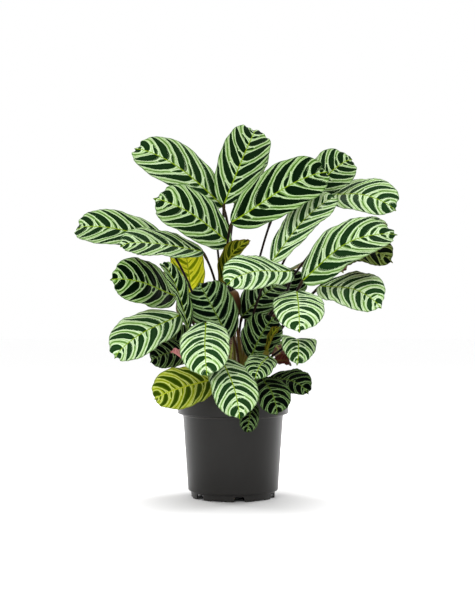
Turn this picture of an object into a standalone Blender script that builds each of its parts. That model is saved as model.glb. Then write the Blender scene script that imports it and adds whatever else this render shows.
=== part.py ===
"""Potted ctenanthe, a house plant with barred leaves, in a round nursery pot.

Metres, +Z up. The origin is on the pot's axis, on the surface that the pot stands on.
The photographed front of the plant faces -Y.
"""

import math
from dataclasses import dataclass

import bmesh
import bpy
import numpy as np
from mathutils import Vector

MM = 0.001
GAP = 0.35 * MM

# Pot
RIM_RADIUS = 60 * MM
RIM_BAND = 25.5 * MM
POT_HEIGHT = 116 * MM
SHOULDER_RADIUS = 54.5 * MM
HEEL_RADIUS = 48.7 * MM
WALL = 1.6 * MM
FOOT_RADIUS = 45.5 * MM
FOOT_HEIGHT = 7.4 * MM
FLOOR_THICKNESS = 2.5 * MM
POT_SIDES = 56

# Notches that let water out under the foot
NOTCH_COUNT = 6
NOTCH_WIDTH = 10 * MM
NOTCH_HEIGHT = 5.7 * MM
NOTCH_TURN = 9
STEP_WIDTH = 14 * MM
STEP_HEIGHT = 1.3 * MM
NOTCH_CUT = 9.6 * MM

# Soil, which falls a little from its middle to a shoulder and then to the wall
SOIL_TOP = 107 * MM
SOIL_SHOULDER = 106.4 * MM
SOIL_SHOULDER_SHARE = 0.75
SOIL_EDGE = 103 * MM
SOIL_SIDES = 40
HOLE_DEPTH = 44 * MM
HOLE_SIDES = 8

# Canes, and the petioles that leave them one under another
CANE_RADIUS = 3.4 * MM
CANE_TOP_RADIUS = 2.3 * MM
CANE_DEPTH = 40 * MM
JOINT_DROP = 3 * MM
JOINT_STEP = 2.5 * MM
PETIOLE_RADIUS = 1.4 * MM
PETIOLE_STEPS = 5
PETIOLE_CLIMB = 1.6
PETIOLE_LEAN = 1.2
PETIOLE_RISE = 0.5
START_PULL = 0.4
END_PULL = 0.3

# Blades
BLADE_THICKNESS = 0.8 * MM
BLADE_ROWS = 8
BLADE_COLUMNS = 5

# Outline of a blade: where it is widest, how blunt and how rounded, and its slimmer base
WIDEST_SHIFT = 1.12
BLUNTNESS = 2.9
ROUNDING = 0.46
BASE_TAPER = 0.2
NARROWEST = 0.07

# Cross section of a blade: each half rises and falls again, and its edge waves
BULGE_RISE = 1.35
BULGE_FALL = 0.75
WAVE = 1.2 * MM
WAVE_COUNT = 2.6
WAVE_OFFSET = 0.35
WAVE_REACH = 2.5
PHASE_STEP = 0.37

LINEAR_FINISHES = {
    "pot": ((0.031, 0.029, 0.028), 0.42),
    "soil": ((0.045, 0.028, 0.018), 0.95),
    "stem": ((0.085, 0.035, 0.022), 0.5),
    "bright": ((0.27, 0.42, 0.19), 0.45),
    "shade": ((0.08, 0.16, 0.06), 0.45),
    "young": ((0.42, 0.42, 0.05), 0.45),
}


@dataclass(frozen=True)
class Shoot:
    """One cane: where it leaves the soil, and the height of its top (millimetres)."""

    x: float
    y: float
    top: float


@dataclass(frozen=True)
class Leaf:
    """One blade, in millimetres.

    base and tip are the ends of the midrib's chord, face is the way the upper side looks,
    arch lifts the midrib towards face, and hook moves that lift towards the tip. cup
    raises the two halves, twist turns the tip half in degrees, and sway bends the midrib
    sideways.
    """

    shoot: str
    base: tuple
    tip: tuple
    width: float
    face: tuple
    arch: float = 8
    hook: float = 0.4
    cup: float = 3
    twist: float = 0
    sway: float = 0
    tone: str = "bright"


SHOOTS = {
    "a": Shoot(2, 12, 150),
    "b": Shoot(-9, 1, 146),
    "c": Shoot(9, -6, 140),
    "d": Shoot(19, 9, 144),
    "e": Shoot(27, -8, 134),
    "f": Shoot(17, -24, 126),
    "g": Shoot(-24, -6, 141),
    "h": Shoot(-10, -22, 126),
    "j": Shoot(-14, 24, 140),
    "k": Shoot(10, 30, 140),
}


LEAVES = {
    "crown": Leaf(
        "a", (-10, 15, 319), (26, 68, 409), 53, (-0.05, -1, 0.1),
        arch=6, hook=0.3, twist=-15,
    ),
    "upper_left": Leaf("a", (-11, 30, 318), (-107, 20, 382), 54, (0.1, -0.9, 0.4), hook=0.6, sway=5),
    "second_left": Leaf("b", (-3, -5, 275), (-80, -40, 321), 55, (0.1, -0.95, 0.4), hook=0.5, sway=2),
    "upper_right": Leaf(
        "c", (-2, -20, 297), (98, -45, 350), 58, (-0.1, -0.95, 0.35),
        arch=12, hook=0.6,
    ),
    "right_round": Leaf("d", (78, 22, 324), (129, 12, 369), 51, (-0.1, -0.95, 0.4), hook=0.5),
    "right_shoulder": Leaf(
        "d", (103, 48, 333), (170, -40, 312), 52, (0, -0.95, 0.5),
        arch=10, hook=0.5,
    ),
    "slanted": Leaf(
        "c", (41, -30, 254), (107, -40, 324), 46, (-0.6, -0.7, 0.4),
        arch=6, hook=0.3, sway=-2,
    ),
    "long_right": Leaf(
        "e", (73, -50, 234), (165, -85, 282), 54, (-0.1, -0.85, 0.5),
        arch=14, hook=0.5, twist=40, sway=-7,
    ),
    "curled_right": Leaf(
        "e", (114, -5, 250), (165, -50, 257), 52, (0.3, -0.75, 0.6),
        arch=14, hook=0.6, tone="shade",
    ),
    "edge_right": Leaf("d", (98, 20, 282), (169, 20, 300), 44, (0, -0.22, 0.98), arch=6, hook=0.3),
    "mid_right": Leaf("e", (93, -20, 229), (151, -75, 209), 54, (0, -0.8, 0.6), hook=0.5, sway=-3),
    "center": Leaf("c", (61, -60, 244), (-5, -115, 232), 52, (-0.1, -0.8, 0.6), hook=0.5, cup=2),
    "under_center": Leaf(
        "c", (9, -4, 195), (55, 6, 233), 46, (-0.3, -0.85, 0.4),
        arch=6, hook=0.3, tone="shade",
    ),
    "heart": Leaf("f", (66, -80, 223), (66, -138, 186), 53, (0, -0.6, 0.8), hook=0.6),
    "small_right": Leaf("f", (62, -56, 172), (66, -105, 152), 38, (0.2, -0.8, 0.6), arch=13, hook=0.3),
    "dark_center": Leaf(
        "f", (18, -46, 152), (42, -54, 195), 44, (-0.2, -0.9, 0.3),
        arch=6, hook=0.3, tone="shade",
    ),
    "left_mid": Leaf("g", (-61, -20, 218), (-124, -65, 236), 55, (-0.05, -0.95, 0.45), hook=0.5),
    "narrow_left": Leaf(
        "g", (-46, -65, 183), (-72, -70, 253), 32, (0.85, -0.48, 0.1),
        arch=4, hook=0.3, cup=6,
    ),
    "yellow_back": Leaf(
        "b", (-45, 22, 214), (-54, 30, 278), 38, (0, -0.95, 0.2),
        arch=4, hook=0.3, tone="young",
    ),
    "left_long": Leaf("b", (-32, -20, 266), (-117, -55, 273), 52, (0, -0.62, 0.78), arch=4, hook=0.3),
    "far_left": Leaf("g", (-76, 0, 280), (-172, 8, 293), 47, (0, -0.85, 0.55), hook=0.5),
    "dark_left": Leaf(
        "g", (-4, -38, 172), (-35, -40, 230), 50, (-0.1, -0.9, 0.3),
        hook=0.3, tone="shade",
    ),
    "lower_left": Leaf("g", (-56, -45, 198), (-121, -85, 157), 53, (-0.2, -0.85, 0.5)),
    "dark_low_left": Leaf(
        "h", (-46, -25, 158), (-85, -50, 151), 40, (-0.1, -0.85, 0.5),
        arch=6, hook=0.3, tone="shade",
    ),
    "front_left": Leaf(
        "h", (-28, -80, 191), (-26, -125, 141), 52, (-0.1, -0.7, 0.7),
        arch=12, hook=0.5,
    ),
    "young_left": Leaf(
        "h", (-21, -60, 131), (-78, -105, 115), 46, (-0.05, -0.95, 0.3),
        arch=5, hook=0.5, tone="young",
    ),
    "front_center": Leaf(
        "h", (-11, -80, 153), (7, -120, 98), 48, (0.1, -0.85, 0.55),
        arch=12, hook=0.5,
    ),
    "front_dark": Leaf(
        "f", (30, -75, 134), (45, -110, 101), 38, (0.1, -0.75, 0.65),
        hook=0.5, tone="shade",
    ),
    "right_low": Leaf(
        "f", (39, -40, 132), (77, -75, 120), 36, (0.1, -0.75, 0.65),
        arch=6, hook=0.5, tone="shade",
    ),
    "tiny_front": Leaf("f", (37, -85, 156), (23, -108, 137), 32, (0, -0.6, 0.8), arch=5),
    "hanging_tip": Leaf(
        "h", (20, -90, 109), (15, -104, 81), 20, (0, -0.85, 0.5),
        arch=4, cup=2, tone="shade",
    ),
    "olive_upright": Leaf(
        "c", (-11, -10, 222), (15, -45, 276), 24, (-0.5, -0.8, 0.2),
        arch=4, hook=0.6, cup=7, sway=-9, tone="young",
    ),
    "shade_low_left": Leaf(
        "g", (-43, -5, 151), (-72, -12, 178), 40, (0.1, -0.9, 0.4),
        arch=4, hook=0.3, tone="shade",
    ),
    "behind_center": Leaf(
        "d", (54, 28, 208), (67, 31, 248), 40, (0.2, -0.9, 0.3),
        arch=4, hook=0.3, tone="shade",
    ),
    "back_crown": Leaf("j", (2, 50, 322), (24, 105, 392), 46, (0.05, -0.8, 0.5), hook=0.3),
    "back_high_left": Leaf(
        "j", (-22, 62, 300), (-74, 136, 334), 50, (0.2, 0.4, 0.85),
        arch=10, hook=0.3,
    ),
    "back_high_right": Leaf(
        "k", (44, 56, 309), (102, 120, 338), 50, (-0.2, 0.5, 0.8),
        arch=10, hook=0.3,
    ),
    "back_left": Leaf("j", (-48, 55, 236), (-124, 118, 228), 50, (-0.2, 0.45, 0.85), arch=10, hook=0.3),
    "back_right": Leaf("k", (44, 52, 240), (128, 112, 250), 50, (0.2, 0.4, 0.85), arch=10, hook=0.3),
    "back_mid_left": Leaf(
        "j", (-18, 66, 226), (-54, 137, 188), 50, (-0.1, 0.75, 0.6),
        arch=12, hook=0.3,
    ),
    "back_mid_right": Leaf("k", (24, 74, 245), (52, 138, 190), 52, (0.1, 0.8, 0.55), arch=12, hook=0.3),
    "back_low_left": Leaf(
        "j", (-38, 54, 182), (-82, 120, 152), 46, (-0.3, 0.6, 0.7),
        arch=10, hook=0.3,
    ),
    "back_low": Leaf("k", (2, 66, 172), (-6, 136, 124), 48, (0, 0.75, 0.65), arch=10, hook=0.3),
    "back_low_right": Leaf("k", (32, 52, 162), (56, 124, 148), 42, (0.2, 0.5, 0.8), arch=10, hook=0.3),
    "rolled_right": Leaf(
        "f", (35, -67, 160), (47, -66, 186), 12, (-0.6, -0.75, 0.2),
        arch=2, hook=0.3, cup=4,
    ),
    "red_under": Leaf(
        "f", (43, -62, 150), (60, -72, 149), 16, (0.05, 0.75, 0.65),
        arch=2, hook=0.3, tone="shade",
    ),
    "pink_spear": Leaf(
        "h", (-46, -55, 147), (-64, -70, 162), 11, (0.2, 0.85, 0.5),
        arch=1, hook=0.3, tone="young",
    ),
}


def unit(vector):
    vector = np.asarray(vector, float)
    return vector / np.linalg.norm(vector)


def outline(u):
    """Half width along a blade as a share of its widest: blunt at the tip, slimmer at the base."""
    blunt = np.maximum(1 - np.abs(2 * u**WIDEST_SHIFT - 1) ** BLUNTNESS, 0) ** ROUNDING
    return np.maximum(blunt * (1 - BASE_TAPER * (1 - u) ** 2), NARROWEST)


def blade_axes(leaf):
    """The blade's upward and sideways directions, both square to its chord."""
    along = unit(np.subtract(leaf.tip, leaf.base))
    up = unit(np.subtract(leaf.face, np.dot(leaf.face, along) * along))
    return up, np.cross(along, up)


def blade_points(leaf, phase, u, v):
    """Points of a blade's middle surface, for u from base 0 to tip 1 and v from edge to edge, -1 to 1.

    The midrib is a chord lifted by a sine arch. Each half rises from the midrib and falls
    again to the edge, and a small wave runs along the edges.
    """
    base = np.asarray(leaf.base, float) * MM
    chord = np.asarray(leaf.tip, float) * MM - base
    up, side = blade_axes(leaf)
    edge = np.abs(v)
    arch = leaf.arch * MM * np.sin(math.pi * u ** (1 + leaf.hook))
    turns = WAVE_COUNT * u + phase + WAVE_OFFSET * np.sign(v)
    wave = WAVE * np.sin(2 * math.pi * turns) * edge**WAVE_REACH
    bulge = BULGE_RISE * edge - BULGE_FALL * edge**3
    bulge = bulge * leaf.cup * MM * np.sqrt(np.sin(math.pi * u))
    rise = bulge + wave * outline(u)
    turn = np.radians(leaf.twist) * (u - 0.5)
    across = v * leaf.width * MM / 2 * outline(u)
    sideways = across * np.cos(turn) - rise * np.sin(turn)
    sideways = sideways + leaf.sway * MM * np.sin(math.pi * u)
    lifted = arch + across * np.sin(turn) + rise * np.cos(turn)
    return base + np.outer(u, chord) + np.outer(lifted, up) + np.outer(sideways, side)


def midrib_start(leaf):
    """The blade's base point, and the direction in which its midrib leaves it."""
    ends = blade_points(leaf, 0, np.array([0, 0.04]), np.zeros(2))
    return ends[0], unit(ends[1] - ends[0])


def add_object(name, mesh, finish, collection):
    obj = bpy.data.objects.new(name, mesh)
    mesh.materials.append(finish)
    collection.objects.link(obj)
    return obj


def add_finish(name, colour, roughness):
    material = bpy.data.materials.new(name)
    material.use_nodes = True
    shader = material.node_tree.nodes["Principled BSDF"]
    shader.inputs["Base Color"].default_value = (*colour, 1)
    shader.inputs["Roughness"].default_value = roughness
    return material


def add_turned(name, profile, sides, finish, collection):
    """A solid of revolution from an (radius, height) outline that runs down its outer side."""
    mesh = bpy.data.meshes.new(name)
    points = [(radius, 0, height) for radius, height in profile]
    mesh.from_pydata(points, [(i, i + 1) for i in range(len(points) - 1)], [])
    obj = add_object(name, mesh, finish, collection)
    screw = obj.modifiers.new("Turn", "SCREW")
    screw.steps = sides
    screw.render_steps = sides
    screw.use_merge_vertices = True
    screw.merge_threshold = 0.00001
    return obj


def add_cutter(name, mesh, collection):
    obj = bpy.data.objects.new(name, mesh)
    collection.objects.link(obj)
    obj.hide_render = True
    obj.display_type = "WIRE"
    return obj


def box_mesh(name, size):
    mesh = bpy.data.meshes.new(name)
    shape = bmesh.new()
    bmesh.ops.create_cube(shape, size=1)
    bmesh.ops.scale(shape, vec=size, verts=shape.verts)
    shape.to_mesh(mesh)
    shape.free()
    return mesh


def cut(obj, cutters, name):
    boolean = obj.modifiers.new(name, "BOOLEAN")
    boolean.operation = "DIFFERENCE"
    boolean.operand_type = "COLLECTION"
    boolean.collection = cutters


def new_collection(name, parent, hidden=False):
    collection = bpy.data.collections.new(name)
    parent.children.link(collection)
    collection.hide_render = hidden
    return collection


def build_pot(finish, parts, cutters):
    """The pot: a tapered wall, a wider rim band with a step under it, and a notched foot ring."""
    shoulder = POT_HEIGHT - RIM_BAND
    floor = FOOT_HEIGHT - WALL + FLOOR_THICKNESS
    profile = [
        (0, floor),
        (HEEL_RADIUS - WALL, floor),
        (SHOULDER_RADIUS - WALL, shoulder),
        (RIM_RADIUS - WALL, shoulder + WALL),
        (RIM_RADIUS - WALL, POT_HEIGHT),
        (RIM_RADIUS, POT_HEIGHT),
        (RIM_RADIUS, shoulder),
        (SHOULDER_RADIUS, shoulder),
        (HEEL_RADIUS, FOOT_HEIGHT),
        (FOOT_RADIUS, FOOT_HEIGHT),
        (FOOT_RADIUS, 0),
        (FOOT_RADIUS - WALL, 0),
        (FOOT_RADIUS - WALL, floor - FLOOR_THICKNESS),
        (0, floor - FLOOR_THICKNESS),
    ]
    pot = add_turned("pot", profile, POT_SIDES, finish, parts)
    notches = new_collection("Pot notches", cutters)
    reach = FOOT_RADIUS - WALL / 2
    for index in range(2 * NOTCH_COUNT):
        angle = math.radians(NOTCH_TURN + index * 180 / NOTCH_COUNT - 90)
        deep = index % 2 == 0
        width = NOTCH_WIDTH if deep else STEP_WIDTH
        height = NOTCH_HEIGHT if deep else STEP_HEIGHT
        size = (NOTCH_CUT, width, 2 * height)
        notch = add_cutter(f"Notch {index + 1}", box_mesh("Notch", size), notches)
        notch.location = (reach * math.cos(angle), reach * math.sin(angle), 0)
        notch.rotation_euler.z = angle
    cut(pot, notches, "Notches")
    return pot


def build_soil(finish, parts, cutters):
    """The soil fills the pot to just under the rim, with a plain hole for each cane."""
    shoulder = POT_HEIGHT - RIM_BAND
    floor = FOOT_HEIGHT - WALL + FLOOR_THICKNESS + GAP
    edge = RIM_RADIUS - WALL - GAP
    profile = [
        (0, SOIL_TOP),
        (SOIL_SHOULDER_SHARE * edge, SOIL_SHOULDER),
        (edge, SOIL_EDGE),
        (edge, shoulder + WALL + GAP),
        (SHOULDER_RADIUS - WALL - GAP, shoulder),
        (HEEL_RADIUS - WALL - GAP, floor),
        (0, floor),
    ]
    soil = add_turned("soil", profile, SOIL_SIDES, finish, parts)
    holes = new_collection("Cane holes", cutters)
    for name, shoot in SHOOTS.items():
        mesh = bpy.data.meshes.new("Hole")
        shape = bmesh.new()
        radius = (CANE_RADIUS + GAP) / math.cos(math.pi / HOLE_SIDES)
        bmesh.ops.create_cone(
            shape, cap_ends=True, segments=HOLE_SIDES, radius1=radius, radius2=radius, depth=2 * HOLE_DEPTH
        )
        shape.to_mesh(mesh)
        shape.free()
        hole = add_cutter(f"Hole {name}", mesh, holes)
        hole.location = (shoot.x * MM, shoot.y * MM, SOIL_TOP)
    cut(soil, holes, "Cane holes")
    return soil


def tube_mesh(name, points, radii, steps):
    """A closed six-sided tube along one cubic: start, two handles, end."""
    data = bpy.data.curves.new(name, "CURVE")
    data.dimensions = "3D"
    spline = data.splines.new("BEZIER")
    spline.bezier_points.add(1)
    start, handle, other_handle, end = (Vector(point) for point in points)
    first, last = spline.bezier_points
    for point, place, left, right in (
        (first, start, 2 * start - handle, handle),
        (last, end, other_handle, 2 * end - other_handle),
    ):
        point.handle_left_type = "FREE"
        point.handle_right_type = "FREE"
        point.co = place
        point.handle_left = left
        point.handle_right = right
    first.radius, last.radius = radii
    data.resolution_u = steps
    data.bevel_depth = 1
    data.bevel_resolution = 1
    data.use_fill_caps = True
    curve = bpy.data.objects.new(name, data)
    bpy.context.scene.collection.objects.link(curve)
    graph = bpy.context.evaluated_depsgraph_get()
    mesh = bpy.data.meshes.new_from_object(curve.evaluated_get(graph))
    shape = bmesh.new()
    shape.from_mesh(mesh)
    bmesh.ops.remove_doubles(shape, verts=shape.verts, dist=0.000001)
    bmesh.ops.triangulate(shape, faces=shape.faces)
    shape.to_mesh(mesh)
    shape.free()
    bpy.data.objects.remove(curve)
    bpy.data.curves.remove(data)
    return mesh


def petiole_route(leaf, order):
    """The four points of a petiole's cubic, from its cane's axis to a gap short of the blade.

    order counts the petioles of one cane from its top, and each starts lower than the last.
    The blade's base edge reaches back past its middle by its half thickness and half width.
    """
    shoot = SHOOTS[leaf.shoot]
    start = np.array([shoot.x, shoot.y, shoot.top]) * MM - (0, 0, JOINT_DROP + order * JOINT_STEP)
    base, tangent = midrib_start(leaf)
    reach = np.linalg.norm(base - start)
    outward = unit(base - start)
    climb = unit(outward + (0, 0, PETIOLE_CLIMB))
    arrive = unit(tangent + PETIOLE_LEAN * outward + (0, 0, PETIOLE_RISE))
    up, side = blade_axes(leaf)
    back = abs(arrive @ up) * BLADE_THICKNESS / 2 + abs(arrive @ side) * leaf.width * MM / 2 * NARROWEST
    end = base - (GAP + back) * arrive
    return start, start + START_PULL * reach * climb, end - END_PULL * reach * arrive, end


def build_shoot(name, shoot, finish, parts):
    """One cane with the petioles that spring from it, fused into one body."""
    foot = np.array([shoot.x, shoot.y, SOIL_TOP / MM]) * MM - (0, 0, CANE_DEPTH)
    top = np.array([shoot.x, shoot.y, shoot.top]) * MM
    route = [foot + share * (top - foot) for share in (0, 1 / 3, 2 / 3, 1)]
    cane_mesh = tube_mesh(f"shoot_{name}", route, (CANE_RADIUS, CANE_TOP_RADIUS), 3)
    cane = add_object(f"shoot_{name}", cane_mesh, finish, parts)
    petioles = new_collection(f"Petioles {name}", bpy.context.scene.collection)
    own = [leaf for leaf in LEAVES.values() if leaf.shoot == name]
    for order, leaf in enumerate(sorted(own, key=lambda leaf: -leaf.base[2])):
        radii = (PETIOLE_RADIUS, PETIOLE_RADIUS)
        mesh = tube_mesh("Petiole", petiole_route(leaf, order), radii, PETIOLE_STEPS)
        add_object("Petiole", mesh, finish, petioles)
    union = cane.modifiers.new("Petioles", "BOOLEAN")
    union.operation = "UNION"
    union.operand_type = "COLLECTION"
    union.collection = petioles
    graph = bpy.context.evaluated_depsgraph_get()
    fused = bpy.data.meshes.new_from_object(cane.evaluated_get(graph))
    cane.modifiers.clear()
    cane.data = fused
    for piece in list(petioles.objects):
        bpy.data.objects.remove(piece)
    bpy.data.collections.remove(petioles)
    return cane


def build_blade(name, leaf, phase, finish, parts):
    """A leaf blade: a grid moved to the blade's formula, split alike on both faces, given a wall."""
    mesh = bpy.data.meshes.new(f"leaf_{name}")
    shape = bmesh.new()
    bmesh.ops.create_grid(shape, x_segments=BLADE_ROWS, y_segments=BLADE_COLUMNS, size=1)
    grid = np.array([vert.co[:2] for vert in shape.verts])
    u = 0.5 + 0.5 * np.sin(grid[:, 0] * math.pi / 2)
    for vert, place in zip(shape.verts, blade_points(leaf, phase, u, grid[:, 1])):
        vert.co = place
    bmesh.ops.triangulate(shape, faces=shape.faces)
    shape.to_mesh(mesh)
    shape.free()
    blade = add_object(f"leaf_{name}", mesh, finish, parts)
    solidify = blade.modifiers.new("Wall", "SOLIDIFY")
    solidify.thickness = BLADE_THICKNESS
    solidify.offset = 0
    mesh.shade_smooth()
    return blade


def main():
    for obj in list(bpy.data.objects):
        bpy.data.objects.remove(obj)
    parts = new_collection("Potted ctenanthe", bpy.context.scene.collection)
    cutters = new_collection("Cutters", bpy.context.scene.collection, hidden=True)
    finishes = {name: add_finish(name, *values) for name, values in LINEAR_FINISHES.items()}
    build_pot(finishes["pot"], parts, cutters)
    build_soil(finishes["soil"], parts, cutters)
    for name, shoot in SHOOTS.items():
        build_shoot(name, shoot, finishes["stem"], parts)
    for index, (name, leaf) in enumerate(LEAVES.items()):
        build_blade(name, leaf, PHASE_STEP * index, finishes[leaf.tone], parts)


main()
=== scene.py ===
"""Looks of a potted ctenanthe: barred leaf blades, dark leaf stalks, potting soil and a moulded pot.

Everything is in metres with +Z up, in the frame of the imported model. The rows of canes and
leaves repeat the model's own, in millimetres, and each finer piece follows its formulas.
"""

import logging
import math
from dataclasses import dataclass
from enum import Enum

import bpy
import numpy as np
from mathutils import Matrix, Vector


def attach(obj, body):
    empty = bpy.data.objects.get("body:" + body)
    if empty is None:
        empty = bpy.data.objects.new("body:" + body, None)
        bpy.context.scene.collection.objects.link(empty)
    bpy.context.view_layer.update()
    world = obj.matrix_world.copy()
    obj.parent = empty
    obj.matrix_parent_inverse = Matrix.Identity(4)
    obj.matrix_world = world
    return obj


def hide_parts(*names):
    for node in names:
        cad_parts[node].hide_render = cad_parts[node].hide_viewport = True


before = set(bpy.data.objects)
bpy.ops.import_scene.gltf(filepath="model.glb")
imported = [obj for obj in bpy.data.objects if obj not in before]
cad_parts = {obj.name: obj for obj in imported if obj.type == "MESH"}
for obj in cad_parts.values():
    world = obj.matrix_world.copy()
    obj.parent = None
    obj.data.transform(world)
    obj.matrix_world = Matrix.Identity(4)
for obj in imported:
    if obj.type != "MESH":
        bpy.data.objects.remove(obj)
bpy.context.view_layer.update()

MM = 0.001
# Shorter lengths count as nothing, in a division and in the bend of a path
TINY = 1e-12
NEARLY_STRAIGHT = 1e-9

BODY = "root"
log = logging.getLogger("ctenanthe")

Colour = tuple[float, float, float]
Span = tuple[float, float]


class Tone(Enum):
    """The kinds of leaf blade, named by their material slots. SHADE blades are painted darker for sitting
    in shade: painted shade.
    """

    BRIGHT = "bright_leaf"
    SHADE = "shade_leaf"
    YOUNG = "young_leaf"


class Look(Enum):
    """The finishes of the blades. Five blades differ from the others of their kind. The SHADE finish is
    painted shade: darker colours for blades that sit in shade.
    """

    BRIGHT = "bright_blade"
    SHADE = "painted_shade_blade"
    YOUNG = "young_blade"
    SHEATH = "sheath_blade"
    CURLED = "curled_blade"
    RED = "red_blade"
    PINK = "pink_blade"


@dataclass(frozen=True)
class Shoot:
    """One cane: where it leaves the soil, and the height of its top (millimetres)."""

    x: float
    y: float
    top: float


@dataclass(frozen=True)
class Leaf:
    """One blade, in millimetres.

    base and tip are the ends of the midrib's chord, face is the way the upper side looks,
    arch lifts the midrib towards face, and hook moves that lift towards the tip. cup
    raises the two halves, twist turns the blade from its base to its tip, in degrees, and
    sway bends the midrib sideways.
    """

    shoot: str
    base: tuple[float, float, float]
    tip: tuple[float, float, float]
    width: float
    face: tuple[float, float, float]
    arch: float = 8
    hook: float = 0.3
    cup: float = 3
    twist: float = 0
    sway: float = 0
    tone: Tone = Tone.BRIGHT


SHOOTS = {
    "a": Shoot(2, 12, 150),
    "b": Shoot(-9, 1, 146),
    "c": Shoot(9, -6, 140),
    "d": Shoot(19, 9, 144),
    "e": Shoot(27, -8, 134),
    "f": Shoot(17, -24, 126),
    "g": Shoot(-24, -6, 141),
    "h": Shoot(-10, -22, 126),
    "j": Shoot(-14, 24, 140),
    "k": Shoot(10, 30, 140),
}

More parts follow.
